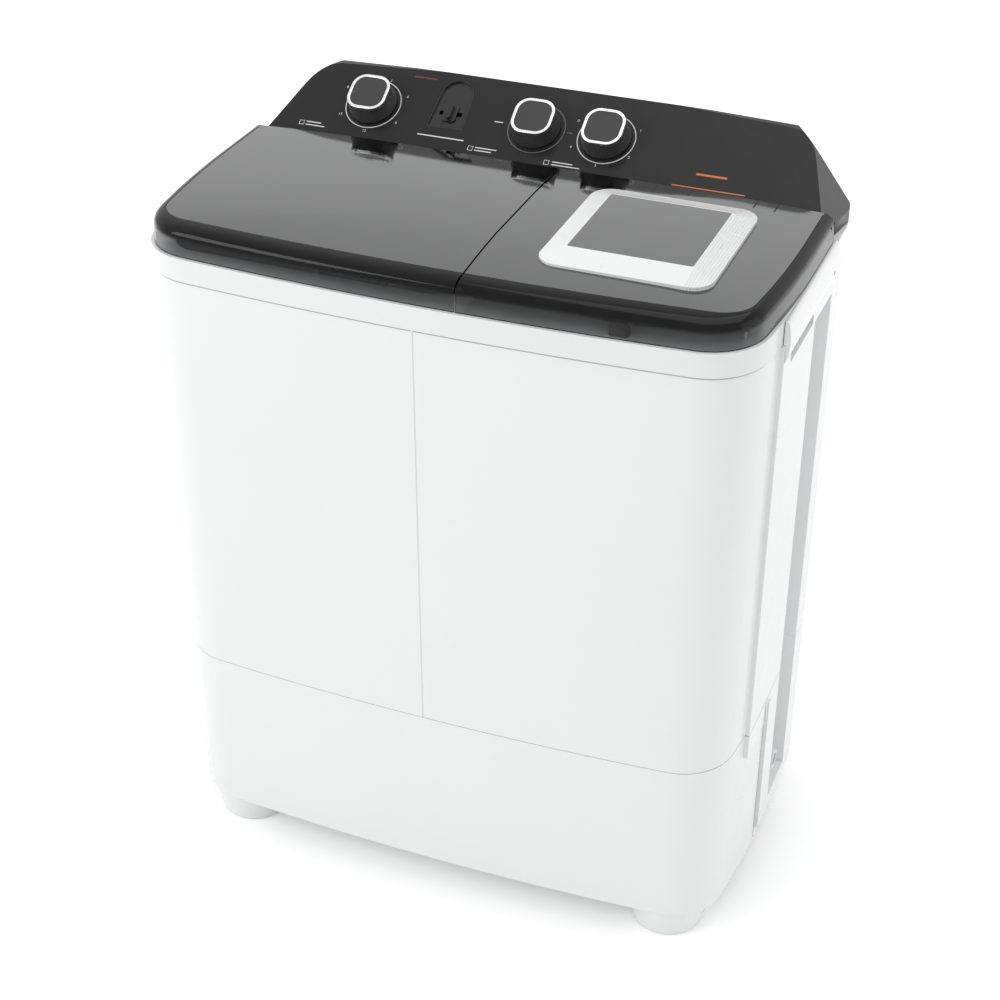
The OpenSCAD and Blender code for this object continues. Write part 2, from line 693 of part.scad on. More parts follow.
// Rear lower corners of the skirts, cut round the hinge axis so that they swing clear of the deck
module skirt_corner(r) difference() {
    block(-big, hinge_y, z_deck - 1, big, lip_y + lip_back, z_hinge);
    translate([-big, hinge_y, z_hinge]) rotate([0, 90, 0]) cylinder(r = r, h = 2 * big);
}
module lid_ear(x) {
    translate([x - ear_w / 2, hinge_y, z_hinge]) rotate([0, 90, 0]) cylinder(r = lug_r, h = ear_w);
    block(x - ear_w / 2, hinge_y - lug_r, z_hinge, x + ear_w / 2, hinge_y + lug_r,
        z_deck + lid_h - top_t - 2);
}
module lid_shell(x0, x1, bar_x, ears) difference() {
    union() {
        intersection() {
            lid_frame();
            lid_half(x0, x1);
        }
        intersection() {
            lid_filler();
            union() {
                block(x0, lid_rear_y - 2 * bar_w - lug_r, z_deck, x1, lid_rear_y, big);
                block(bar_x - bar_w / 2, -big, z_deck, bar_x + bar_w / 2, lid_rear_y, big);
            }
            lid_half(x0, x1);
        }
        for (x = ears) lid_ear(x);
    }
    skirt_corner(hinge_swing);
    for (x = ears) lug_room(x);
    translate([-big, hinge_y, z_hinge]) rotate([0, 90, 0]) cylinder(r = pin_r + run_fit, h = 2 * big);
}
// Room for the fixed lugs beside an ear, over the whole swing of the lid
module lug_room(x) for (s = [-1, 1]) {
    lug_x = x + s * (ear_w / 2 + free_gap + lug_t / 2);
    half_room = lug_t / 2 + free_gap;
    block(lug_x - half_room, hinge_y - lug_r - 1, z_deck, lug_x + half_room, big, z_hinge + lug_r + 1);
}
wash_lid_x1 = lid_split_x - lid_split_gap / 2;
spin_lid_x0 = lid_split_x + lid_split_gap / 2;
peg_r = 4;
rod_top = z_deck + 8;

module wash_lid_shell() color([0.2, 0.2, 0.21])
    lid_shell(-big, wash_lid_x1, wash_lid_x1 - bar_w / 2, wash_ears);
module spin_lid_shell() color([0.2, 0.2, 0.21]) {
    lid_shell(spin_lid_x0, big, spin_lid_x0 + bar_w / 2, spin_ears);
    // peg that holds the brake rod down while the lid is shut
    translate([rod_x, rod_y, rod_top + body_gap])
        cylinder(r = peg_r, h = z_deck + lid_h - top_t - 1 - rod_top);
}
module lid_top_plate(x0, x1) intersection() {
    lid_plate();
    lid_half(x0, x1);
}
module wash_lid_top() color([0.53, 0.53, 0.54]) lid_top_plate(-big, wash_lid_x1);
module spin_lid_top() color([0.53, 0.53, 0.54]) difference() {
    lid_top_plate(spin_lid_x0, big);
    translate([0, 0, z_deck]) linear_extrude(big) polygon(trim_outline());
}

// Raised white trim of the spin lid, with a grey cap let into it
trim_left = 26;
trim_right = 28.5;
trim_front = 39;
trim_back = 27;
cap_r = 3;
cap_t = 2;
trim_sink = 7;
trim_wall_up = 6.5;
trim_top_r = 3;
function trim_outline() = round_rect(trim_x0, trim_y0, trim_x1, trim_y1, trim_r);
function trim_top_outline(grow) = round_rect(trim_x0 + trim_left - grow, trim_y0 + trim_front - grow,
    trim_x1 - trim_right + grow, trim_y1 - trim_back + grow, cap_r + grow);
module spin_lid_trim() color([0.97, 0.97, 0.97]) difference() {
    skin([lift(trim_outline(), z_deck + lid_h - trim_sink),
        lift(trim_outline(), z_deck + lid_h + trim_wall_up),
        lift(trim_top_outline(trim_top_r), z_deck + lid_h + trim_up - 0.6),
        lift(trim_top_outline(trim_top_r / 2), z_deck + lid_h + trim_up)]);
    translate([0, 0, z_deck + lid_h + trim_up - cap_t]) linear_extrude(cap_t + 1)
        polygon(trim_top_outline(0));
}
module spin_lid_cap() color([0.5, 0.5, 0.51]) translate([0, 0, z_deck + lid_h + trim_up - cap_t])
    linear_extrude(cap_t - 0.2) polygon(trim_top_outline(-free_gap / 2));

// Hinge pins, one through each ear and its two lugs
module hinge_pins() color([0.75, 0.75, 0.77]) for (x = concat(wash_ears, spin_ears))
    translate([x - ear_w / 2 - free_gap - lug_t, hinge_y, z_hinge]) rotate([0, 90, 0])
        cylinder(r = pin_r, h = ear_w + 2 * free_gap + 2 * lug_t);

// Console: a wedge with slanted ends
lip_h = 7;
lip_back = 9;
z_lip = z_deck + lip_up;
rear_lean = 12;
end_tilt = 49.4;
end_turn = 8.4;
end_x = half_w - 14.5;
end_z = z_deck + 22.7;
end_foot = half_w - 8;
end_foot_z = z_deck + 16;
ridge_z = z_lip + (ridge_y - lip_y) * tan(console_slope);
corner_z = ridge_z - ridge_bow * tan(console_slope);
corner_top = ridge_z + 4;
rear_cut_x = half_w - 23;
rear_cut_y = ridge_y - 40;
rear_cut_z = z_deck + 52;
rear_cut_az = 35;
rear_cut_el = 31;

// Side view of the console, moved in by t
function console_profile(t) = let (slope_z = z_lip - t / cos(console_slope))
    t == 0 ? [
        [lip_y + lip_back, z_deck], [lip_y + lip_back, z_lip - lip_h], [lip_y, z_lip - lip_h], [lip_y, z_lip],
        [ridge_y - 1, ridge_z - 0.6], [ridge_y + 1.5, ridge_z - 2], [ridge_y + rear_lean, z_deck]]
    : [
        [lip_y + lip_back + t, z_deck - 1], [lip_y + lip_back + t,
            slope_z + (lip_back + t) * tan(console_slope)],
        [ridge_y - t, slope_z + (ridge_y - t - lip_y) * tan(console_slope)],
            [ridge_y + rear_lean - t, z_deck - 1]];

// Rear view of the console's right end, moved in by t: foot, slant, round corner, ridge
function console_end(t) = let (
        nx = sin(end_tilt),
        nz = cos(end_tilt),
        cz = corner_z - console_corner_r,
        cx = end_x - (console_corner_r + (cz - end_z) * nz) / nx)
    concat(
        [[-big, z_deck - 1], [end_foot - t, z_deck - 1], [end_foot - t, end_foot_z], [end_x - t, end_z]],
        arc(cx, cz, console_corner_r - t, 90 - end_tilt, 88, 6),
        [[-big, corner_top - t + big * (corner_top - corner_z) / cx]]);
function mirrored(points) = [for (i = [len(points) - 1:-1:0]) [-points[i][0], points[i][1]]];
function rear_curve(t) = [for (i = [0:12]) let (x = top_half_w * (1 - i / 6))
    [x, ridge_y + rear_lean - t - ridge_bow * x * x / (300 * 300)]];

// Both ends of the console, each turned so that the console widens to the rear
module console_right_end(t) translate([end_x, lip_y, 0]) rotate([0, 0, -end_turn])
    translate([-end_x, big / 2, 0])
    rotate([90, 0, 0]) linear_extrude(big) polygon(console_end(t));
module console_ends(t) intersection() {
    console_right_end(t);
    mirror([1, 0, 0]) console_right_end(t);
}
module console_form(t) difference() {
    intersection() {
        translate([-big / 2, 0, 0]) rotate([90, 0, 90]) linear_extrude(big) polygon(console_profile(t));
        console_ends(t);
        translate([0, 0, z_deck - 2]) linear_extrude(big)
            polygon(concat(rear_curve(t), [[-top_half_w, lip_y - 1], [top_half_w, lip_y - 1]]));
        translate([0, 0, z_deck - 2]) linear_extrude(big) polygon(top_plan(t + lap));
    }
    for (s = [0, 1]) mirror([s, 0, 0]) translate([rear_cut_x - t, rear_cut_y, rear_cut_z])
        rotate([0, -rear_cut_el, rear_cut_az]) translate([0, -big / 2, -big / 2]) cube(big);
}

// Places a child on the console's face, with its own Z square to the face
module on_face(x, s) translate([x, lip_y + s * cos(console_slope), z_lip + s * sin(console_slope)])
    rotate([console_slope, 0, 0]) children();

fascia_s0 = 3;
fascia_s1 = (ridge_y - lip_y) / cos(console_slope) - 8;
fascia_edge = 7;
stem_hole_r = stem_r + free_gap;
bezel_s0 = 35;
bezel_depth = 5;
bezel_t = 2;
bezel_s1 = fascia_s1 - 2;
selector_slot_w = 5;
selector_s = 60;
knob_xs = [wash_knob_x, drain_knob_x, spin_knob_x];

function bezel_outline(grow) = let (r = bezel_w / 2 - 3)
    concat([[-bezel_w / 2 - grow, -grow], [bezel_w / 2 + grow, -grow]],
        arc(0, bezel_s1 - bezel_s0 - r, r + grow, 0, 180, 12));
module fascia_slab(top) intersection() {
    on_face(0, 0) block(-big / 2, fascia_s0, -fascia_t, big / 2, fascia_s1, top);
    console_ends(fascia_edge);
}
module face_holes() {
    for (x = knob_xs) on_face(x, knob_s) translate([0, 0, -40]) cylinder(r = stem_hole_r, h = 80);
    on_face(selector_x, bezel_s0) translate([0, 0, -bezel_depth - free_gap]) linear_extrude(40)
        polygon(bezel_outline(0));
}
inlet_x = selector_x;
inlet_z = z_deck + 38;
inlet_pocket_w = 64;
inlet_pocket_h = 56;
inlet_y0 = top_rear - inlet_l - 2;

module console_housing() color([0.2, 0.2, 0.21]) difference() {
    union() {
        difference() {
            console_form(0);
            console_form(wall);
        }
        // socket for the water inlet
        intersection() {
            console_form(1);
            block(inlet_x - inlet_pocket_w / 2 - wall, inlet_y0 - wall, inlet_z - inlet_pocket_h / 2 - wall,
                inlet_x + inlet_pocket_w / 2 + wall, big, inlet_z + inlet_pocket_h / 2 + wall);
        }
        for (s = [0, 1]) mirror([s, 0, 0]) intersection() {
            skirt_corner(hinge_swing + 3 * body_gap);
            block(end_foot - 4, hinge_y + 10, z_deck, end_foot - 1, lip_y + lip_back + 2, z_hinge);
        }
    }
    fascia_slab(fascia_t);
    face_holes();
    for (x = spout_xs) block(x - spout_w / 2 - free_gap, lip_y, z_deck - 1,
        x + spout_w / 2 + free_gap, duct_y0, z_deck + spout_h + free_gap);
    block(inlet_x - inlet_pocket_w / 2, inlet_y0, inlet_z - inlet_pocket_h / 2,
        inlet_x + inlet_pocket_w / 2, big, inlet_z + inlet_pocket_h / 2);
    translate([inlet_x, inlet_y0 - wall - 1, inlet_z]) rotate([-90, 0, 0])
        cylinder(r = inlet_r - 3, h = wall + 2);
}
module console_fascia() color([0.17, 0.17, 0.18]) difference() {
    fascia_slab(0);
    face_holes();
}
module selector_bezel() color([0.13, 0.13, 0.14]) on_face(selector_x, bezel_s0) difference() {
    translate([0, 0, -bezel_depth]) linear_extrude(bezel_depth) polygon(bezel_outline(-0.2));
    translate([0, 0, bezel_t - bezel_depth]) linear_extrude(bezel_depth) polygon(bezel_outline(-bezel_t));
    block(-selector_travel - selector_slot_w / 2 - free_gap, selector_s - bezel_s0 - 3, -bezel_depth - 1,
        selector_travel + selector_slot_w / 2 + free_gap, selector_s - bezel_s0 + 3, 0);
}
module water_selector() color([0.22, 0.22, 0.23]) on_face(selector_x, selector_s) {
    translate([0, 0, bezel_t - bezel_depth + body_gap]) linear_extrude(1.6)
        polygon(round_rect(-9, -13, 9, 13, 4, 4));
    translate([0, 0, bezel_t - bezel_depth + body_gap + 1.4]) linear_extrude(5)
        polygon(round_rect(-3, -11, 3, 11, 2.5, 4));
    block(-selector_slot_w / 2, -2.5, -bezel_depth - 6, selector_slot_w / 2, 2.5, bezel_t - bezel_depth + 1);
}

// Knobs: a round foot that turns into a rounded square, with a bright ring round the top
knob_steps = 8;
ring_w = 3.8;
ring_h = 4.5;
knob_clear = 1;
stem_l = 18;
function square_ring(w, r, z) = lift(round_rect(-w / 2, -w / 2, w / 2, w / 2, r, knob_steps), z);
function round_ring(r, z) = square_ring(2 * r, r - 0.01, z);
module knob(x) on_face(x, knob_s) {
    waist = knob_h - ring_h;
    skin([round_ring(knob_foot_r - 1, knob_clear), round_ring(knob_foot_r, knob_clear + 1.5),
        round_ring(knob_foot_r - 0.6, 7), square_ring(knob_w + 2.5, knob_r + 6, 14),
        square_ring(knob_w, knob_r, waist)]);
    translate([0, 0, waist - lap]) linear_extrude(ring_h - 1 + lap)
        polygon([for (p = square_ring(knob_w - 2 * ring_w, knob_r - ring_w, 0)) [p[0], p[1]]]);
    translate([0, 0, knob_clear + 2 - stem_l]) cylinder(r = stem_r, h = stem_l);
}
module knob_ring(x) on_face(x, knob_s) translate([0, 0, knob_h - ring_h]) linear_extrude(ring_h)
    difference() {
    polygon([for (p = square_ring(knob_w, knob_r, 0)) [p[0], p[1]]]);
    polygon([for (p = square_ring(knob_w - 2 * ring_w, knob_r - ring_w, 0)) [p[0], p[1]]]);
}
module wash_knob() color([0.23, 0.23, 0.24]) knob(wash_knob_x);
module drain_knob() color([0.23, 0.23, 0.24]) knob(drain_knob_x);
module spin_knob() color([0.23, 0.23, 0.24]) knob(spin_knob_x);
module wash_knob_ring() color([0.95, 0.95, 0.95]) knob_ring(wash_knob_x);
module drain_knob_ring() color([0.95, 0.95, 0.95]) knob_ring(drain_knob_x);
module spin_knob_ring() color([0.95, 0.95, 0.95]) knob_ring(spin_knob_x);

// Timers and the drain switch hang under the console's face, round the knob stems
timer_top = -wall;
module timer(x, w, h) on_face(x, knob_s) difference() {
    union() {
        translate([-w / 2, -w / 2, timer_top - h]) cube([w, w, h]);
        translate([0, 0, timer_top - h - 6]) cylinder(r = w / 2 - 6, h = 7);
    }
    translate([0, 0, timer_top - h + 8]) cylinder(r = stem_r + run_fit, h = h);
}
timer_w = 48;
timer_h = 22;
switch_w = 40;
module wash_timer() color([0.85, 0.84, 0.8]) timer(wash_knob_x, timer_w, timer_h);
module spin_timer() color([0.85, 0.84, 0.8]) timer(spin_knob_x, timer_w, timer_h);
module drain_switch() color([0.8, 0.8, 0.78]) timer(drain_knob_x, switch_w, timer_h);

// Water channel from the inlet to the tubs, and the inlet's nipple
duct_h = 16;
spout_h = 8;
spout_w = 50;
spout_xs = [selector_x - 26, spin_x - 28];
spout_ends = [tub_y1 - 14, spin_y + spin_mouth_r - 14];
duct_x0 = selector_x - 70;
duct_x1 = spin_x + 4;
duct_y0 = lip_y + lip_back + wall + 2;
duct_y1 = duct_y0 + 44;
module water_channel() color([0.86, 0.87, 0.88]) difference() {
    union() {
        block(duct_x0, duct_y0, z_deck, duct_x1, duct_y1, z_deck + duct_h);
        for (i = [0, 1]) block(spout_xs[i] - spout_w / 2, spout_ends[i], z_deck,
            spout_xs[i] + spout_w / 2, duct_y0 + lap, z_deck + spout_h);
        translate([inlet_x, duct_y0 + 22, inlet_z]) rotate([-90, 0, 0])
            cylinder(r = inlet_r - 3, h = inlet_y0 - wall - duct_y0 - 22);
        block(inlet_x - 10, duct_y0 + 12, z_deck + duct_h - lap, inlet_x + 10, duct_y0 + 32, inlet_z);
    }
    block(duct_x0 + wall, duct_y0 + wall, z_deck - 1, duct_x1 - wall, duct_y1 - wall, z_deck + duct_h - wall);
    for (i = [0, 1]) block(spout_xs[i] - spout_w / 2 + 2, spout_ends[i] - 1, z_deck - 1,
        spout_xs[i] + spout_w / 2 - 2, duct_y0 + wall + 1, z_deck + spout_h - 2);
}
module water_inlet() color([0.9, 0.9, 0.9]) translate([inlet_x, inlet_y0, inlet_z]) rotate([-90, 0, 0])
    difference() {
    union() {
        cylinder(r = inlet_r, h = inlet_l);
        cylinder(r = inlet_r + 5, h = 3);
    }
    translate([0, 0, 4]) cylinder(r = inlet_r - 4, h = inlet_l);
}

// Wash tub with its dish and drain hole
z_tub = z_deck - deck_t - tub_depth;
z_dish = z_tub - dish_d;
seal_r = 18;
drain_x = tub_x1 - 40;
drain_y = tub_y1 - 40;
drain_hole_r = overflow_r - 3;
module wash_tub() color([0.9, 0.93, 0.95]) difference() {
    union() {
        translate([0, 0, z_tub - wall]) linear_extrude(z_under - z_tub + wall)
            polygon(round_rect(tub_x0 - wall, tub_y0 - wall, tub_x1 + wall, tub_y1 + wall, tub_r + wall));
        translate([0, 0, z_under - wall]) linear_extrude(wall)
            polygon(round_rect(tub_x0 - tub_flange, tub_y0 - tub_flange, tub_x1 + tub_flange,
                tub_y1 + tub_flange,
                tub_r + tub_flange));
        translate([wash_x, wash_y, z_dish - wall]) cylinder(r = dish_r + wall, h = dish_d + wall);
    }
    translate([0, 0, z_tub]) linear_extrude(tub_depth + 1)
        polygon(round_rect(tub_x0, tub_y0, tub_x1, tub_y1, tub_r));
    translate([wash_x, wash_y, z_dish]) cylinder(r = dish_r, h = dish_d + 1);
    translate([wash_x, wash_y, z_dish - wall - 1]) cylinder(r = seal_r + run_fit, h = wall + 2);
    translate([drain_x, drain_y, z_tub - wall - 1]) cylinder(r = drain_hole_r, h = wall + 2);
}

// Lint filter: a slotted cassette on the rear wall of the tub
filter_w = 90;
filter_t = 16;
filter_h = 240;
filter_x = wash_x - 60;
filter_z = z_tub + 170;
filter_slots = 9;
module lint_filter() color([0.55, 0.75, 0.85]) translate([filter_x, tub_y1, filter_z]) difference() {
    rotate([90, 0, 0]) linear_extrude(filter_t)
        polygon(round_rect(-filter_w / 2, 0, filter_w / 2, filter_h, 12, 5));
    translate([0, -3, 0]) rotate([90, 0, 0]) linear_extrude(filter_t - 6)
        polygon(round_rect(4 - filter_w / 2, 4, filter_w / 2 - 4, filter_h - 4, 9, 5));
    for (i = [0:filter_slots - 1])
        block(14 - filter_w / 2, -filter_t - 1, 24 + i * 22, filter_w / 2 - 14, 4 - filter_t, 36 + i * 22);
}
overflow_top = z_under - 70;
module overflow_pipe() color([0.88, 0.9, 0.92]) translate([drain_x, drain_y, z_tub]) difference() {
    union() {
        cylinder(r = overflow_r, h = overflow_top - z_tub);
        cylinder(r = overflow_r + 5, h = 3);
    }
    translate([0, 0, -1]) cylinder(r = drain_hole_r, h = overflow_top);
    for (a = [0:60:300]) rotate([0, 0, a]) translate([0, 0, 8]) block(0, -4, 0, 2 * overflow_r, 4, 40);
}

// Pulsator drive
module shaft_seal() color([0.15, 0.15, 0.16]) translate([wash_x, wash_y, z_dish - wall]) difference() {
    cylinder(r = seal_r, h = wall + 1.5);
    translate([0, 0, -1]) cylinder(r = wash_shaft_r + run_fit, h = wall + 4);
}
housing_h = 74;
housing_r = 27;
housing_flange_r = 62;
housing_flange_t = 8;
module bearing_housing() color([0.62, 0.63, 0.65]) translate([wash_x, wash_y, z_dish - wall - housing_h])
    difference() {
    union() {
        cylinder(r = housing_r, h = housing_h);
        translate([0, 0, housing_h - housing_flange_t]) cylinder(r = housing_flange_r, h = housing_flange_t);
        for (a = [0:60:300]) rotate([0, 0, a]) translate([0, -2.5, housing_h - housing_flange_t - 30])
            rotate([90, 0, 90])
            linear_extrude(housing_flange_r - 6) polygon([[0, 0], [5, 0], [5, 30 + lap], [0, 30 + lap]]);
    }
    translate([0, 0, -1]) cylinder(r = wash_shaft_r + run_fit, h = housing_h + 2);
}
fin_count = 6;
fin_w = 14;
pulsator_z = z_dish + 4;
pulsator_t = 5;
hub_r = 34;
hub_up = 30;
module pulsator() color([0.82, 0.86, 0.9]) translate([wash_x, wash_y, pulsator_z]) difference() {
    union() {
        rotate_extrude() polygon(concat([[0, 0], [pulsator_r, 0]],
            [[pulsator_r, pulsator_t + 2], [pulsator_r - 6, pulsator_t + 4], [hub_r + 26, pulsator_t + 4]],
            [for (i = [0:6]) let (u = i / 6) [hub_r + 26 - (hub_r + 10) * u,
                pulsator_t + 4 + hub_up * sin(90 * u)]],
            [[0, pulsator_t + 4 + hub_up]]));
        for (i = [0:fin_count - 1]) rotate([0, 0, 360 * i / fin_count]) pulsator_fin();
    }
    translate([0, 0, -1]) cylinder(r = wash_shaft_r, h = pulsator_t + 18);
}
module pulsator_fin() rotate([90, 0, 0]) translate([0, 0, -fin_w / 2]) linear_extrude(fin_w)
    polygon(concat([[hub_r - 10, pulsator_t]], [[pulsator_r - 8, pulsator_t]],
        [for (i = [0:6]) let (u = i / 6) [pulsator_r - 10 - 70 * u, pulsator_t + 6 + 20 * sin(90 * u)]]));
z_belt = z_dish - wall - housing_h - 26;
module pulsator_shaft() color([0.75, 0.76, 0.78]) translate([wash_x, wash_y, z_belt - 18])
    cylinder(r = wash_shaft_r, h = pulsator_z + pulsator_t + 16 - z_belt + 18);
belt_h = 10;
belt_t = 8;
module pulley(r, bore) difference() {
    rotate_extrude() polygon([[bore, -12], [bore + 8, -12], [bore + 8, -8], [r + 6, -8], [r + 6, -7.4],
        [r - 4.5, -5.6],
        [r - 4.5, 5.6], [r + 6, 7.4], [r + 6, 8], [bore + 8, 8], [bore + 8, 20], [bore, 20]]);
    if (r > 40) for (a = [0:60:300]) rotate([0, 0, a]) translate([(r + bore) / 2, 0, -9])
        cylinder(r = r / 5, h = 18);
}
module drive_pulley() color([0.55, 0.56, 0.58]) translate([wash_x, wash_y, z_belt])
    pulley(big_pulley_r, wash_shaft_r);

// Wash motor on its bracket, with its shaft and small pulley
motor_x = wash_x + 122;
motor_y = wash_y + 138;
motor_shaft_r = 7;
z_wash_motor = z_belt - 28 - wash_motor_h;
module wash_motor() color([0.45, 0.46, 0.48]) translate([motor_x, motor_y, z_wash_motor]) difference() {
    union() {
        rotate_extrude() polygon(concat([[0, 0], [wash_motor_r - 14, 0]],
            arc(wash_motor_r - 14, 14, 14, -60, 0, 4), [[wash_motor_r, 24], [wash_motor_r + 3, 26]],
            [[wash_motor_r + 3, wash_motor_h - 40], [wash_motor_r, wash_motor_h - 38]],
            arc(wash_motor_r - 14, wash_motor_h - 18, 14, 0, 90, 5),
                [[18, wash_motor_h - 4], [18, wash_motor_h], [0, wash_motor_h]]));
    }
    translate([0, 0, wash_motor_h - 50]) cylinder(r = motor_shaft_r + run_fit, h = 51);
}
module rotor_pulley() color([0.72, 0.73, 0.75]) translate([motor_x, motor_y, z_belt]) {
    translate([0, 0, -60]) cylinder(r = motor_shaft_r, h = 76);
    pulley(small_pulley_r, motor_shaft_r - lap);
}
bracket_t = 5;
bracket_w = 130;
module motor_bracket() color([0.6, 0.6, 0.62]) {
    translate([motor_x, motor_y, z_wash_motor - bracket_t]) linear_extrude(bracket_t)
        polygon(round_rect(-bracket_w / 2, -bracket_w / 2, bracket_w / 2, bracket_w / 2, 14, 5));
    for (sx = [-1, 1]) for (sy = [-1, 1])
        translate([motor_x + sx * (bracket_w / 2 - 15), motor_y + sy * (bracket_w / 2 - 15), z_floor])
            cylinder(r = 9, h = z_wash_motor - bracket_t - z_floor + lap);
}

// V belt: two arcs joined by straight runs
belt_span = norm([motor_x - wash_x, motor_y - wash_y]);
belt_turn = acos((big_pulley_r - small_pulley_r) / belt_span);
function belt_loop(grow) = concat(
    arc(0, 0, big_pulley_r + grow, belt_turn, 360 - belt_turn, 24),
    arc(belt_span, 0, small_pulley_r + grow, -belt_turn, belt_turn, 12));
module drive_belt() color([0.1, 0.1, 0.1]) translate([wash_x, wash_y, z_belt - belt_h / 2])
    rotate([0, 0, atan2(motor_y - wash_y, motor_x - wash_x)]) linear_extrude(belt_h) difference() {
        polygon(belt_loop(belt_t / 2));
        polygon(belt_loop(-belt_t / 2));
    }

// Spin well, basket and their drive
z_well = z_under - well_depth;
well_flange = 8;
well_hole_r = 36;
well_port_r = hose_r + 1;
well_port_turn = 144;
well_port_x = spin_x + (well_r - 25) * cos(well_port_turn);
well_port_y = spin_y + (well_r - 25) * sin(well_port_turn);
module spin_well() color([0.88, 0.9, 0.91]) difference() {
    translate([spin_x, spin_y, 0]) rotate_extrude() polygon([
        [well_hole_r, z_well - wall], [well_r + wall, z_well - wall], [well_r + wall, z_under - wall],
        [well_r + well_flange, z_under - wall], [well_r + well_flange, z_under], [well_r, z_under],
        [well_r, z_well], [well_hole_r, z_well]]);
    translate([well_port_x, well_port_y, z_well - wall - 1]) cylinder(r = well_port_r - 4, h = wall + 2);
}
z_basket = z_well + basket_gap;
z_balance = z_under - 28 - balance_h;
hole_rows = 5;
hole_columns = 14;
hole_r = 3.2;
module spin_basket() color([0.8, 0.82, 0.84]) translate([spin_x, spin_y, 0]) difference() {
    rotate_extrude() polygon(concat(
        [[spin_shaft_r, z_basket - 4], [spin_shaft_r + 16, z_basket - 4], [spin_shaft_r + 18, z_basket]],
        arc(basket_r - 14, z_basket + 14, 14, -90, 0, 5),
        [[basket_r, z_balance], [basket_r - basket_wall, z_balance]],
        arc(basket_r - 14, z_basket + 14 + basket_wall, 14 - basket_wall, 0, -90, 5),
        [[spin_shaft_r + 36, z_basket + 2 * basket_wall], [spin_shaft_r + 14, z_basket + 30],
            [spin_shaft_r, z_basket + 34]]));
    for (j = [0:hole_rows - 1]) for (i = [0:hole_columns - 1])
        translate([0, 0, z_basket + 50 + j * (z_balance - z_basket - 90) / (hole_rows - 1)])
            rotate([0, 90, 360 * (i + 0.5 * (j % 2)) / hole_columns])
                translate([0, 0, basket_r - 8]) cylinder(r = hole_r, h = 12);
}
module balance_ring() color([0.35, 0.55, 0.75]) translate([spin_x, spin_y, z_balance]) rotate_extrude()
    polygon(concat([[basket_r - 16, 0], [basket_r + 2, 0]],
        arc(basket_r - 6, balance_h - 8, 8, 0, 90, 5), arc(basket_r - 10, balance_h - 6, 6, 90, 180, 5)));
z_plate = z_floor + spring_h;
plate_t = 8;
z_motor = z_plate + plate_t;
z_drum = z_motor + spin_motor_h + 16;
drum_h = 22;
module spin_shaft() color([0.7, 0.71, 0.73]) translate([spin_x, spin_y, 0]) {
    translate([0, 0, z_motor + spin_motor_h - 50])
        cylinder(r = spin_shaft_r, h = z_basket + 30 - z_motor - spin_motor_h + 50);
    translate([0, 0, z_drum]) cylinder(r = drum_r, h = drum_h);
}
module spin_motor() color([0.45, 0.46, 0.48]) translate([spin_x, spin_y, z_motor]) difference() {
    rotate_extrude() polygon(concat([[0, 0], [spin_motor_r - 10, 0], [spin_motor_r, 12],
        [spin_motor_r, 20], [spin_motor_r + 3, 22]],
        [[spin_motor_r + 3, spin_motor_h - 46], [spin_motor_r, spin_motor_h - 44]],
        arc(spin_motor_r - 16, spin_motor_h - 20, 16, 0, 90, 5),
            [[22, spin_motor_h - 4], [22, spin_motor_h], [0, spin_motor_h]]));
    translate([0, 0, spin_motor_h - 54]) cylinder(r = spin_shaft_r + run_fit, h = 55);
}
ear_r = spring_r + spring_wire_r + 4;
post_x = spin_x + 84;
post_y = rod_y;
module motor_plate() color([0.6, 0.61, 0.63]) {
    translate([spin_x, spin_y, z_plate]) cylinder(r = spin_motor_r + 8, h = plate_t);
    for (a = spring_angles) translate([spin_x, spin_y, z_plate]) rotate([0, 0, a]) {
        translate([spring_arm, 0, 0]) cylinder(r = ear_r, h = plate_t);
        block(spin_motor_r - 5, -16, 0, spring_arm, 16, plate_t);
    }
    // post that carries the brake lever
    difference() {
        union() {
            block(post_x - 8, post_y - 4, z_plate, post_x + 8, post_y + 4, z_lever + 10);
            block(spin_x + 50, post_y - 10, z_plate, post_x + 8, spin_y - 7, z_plate + plate_t);
        }
        translate([post_x, post_y - 10, z_lever]) rotate([-90, 0, 0])
            cylinder(r = lever_pin_r + run_fit, h = 20);
    }
}
module suspension_springs() color([0.65, 0.66, 0.68]) for (a = spring_angles)
    translate([spin_x + spring_arm * cos(a), spin_y + spring_arm * sin(a), z_floor]) spring();
spring_sides = 6;
rings_per_turn = 10;
function spring_path() = let (
        count = spring_turns * rings_per_turn,
        rise = spring_h - 2 * spring_wire_r)
    [for (i = [0:count]) let (a = 360 * i / rings_per_turn, u = i / count)
        [spring_r * cos(a), spring_r * sin(a), spring_wire_r + rise * u]];
module spring() tube(spring_path(), spring_wire_r, spring_sides);
module well_bellows() color([0.14, 0.14, 0.15]) translate([spin_x, spin_y, z_well - wall]) rotate_extrude()
    polygon(concat([[well_hole_r, 0], [well_hole_r, wall], [well_hole_r - 3, wall + 3],
        [well_hole_r - 6, wall]],
        [[26, -8], [30, -16], [22, -24], [26, -32], [spin_shaft_r + 0.1, -40], [spin_shaft_r + 0.1, -44],
            [14, -44], [30, -34]],
        [[27, -25], [35, -16], [31, -8], [well_hole_r + 8, -4], [well_hole_r + 8, 0]]));

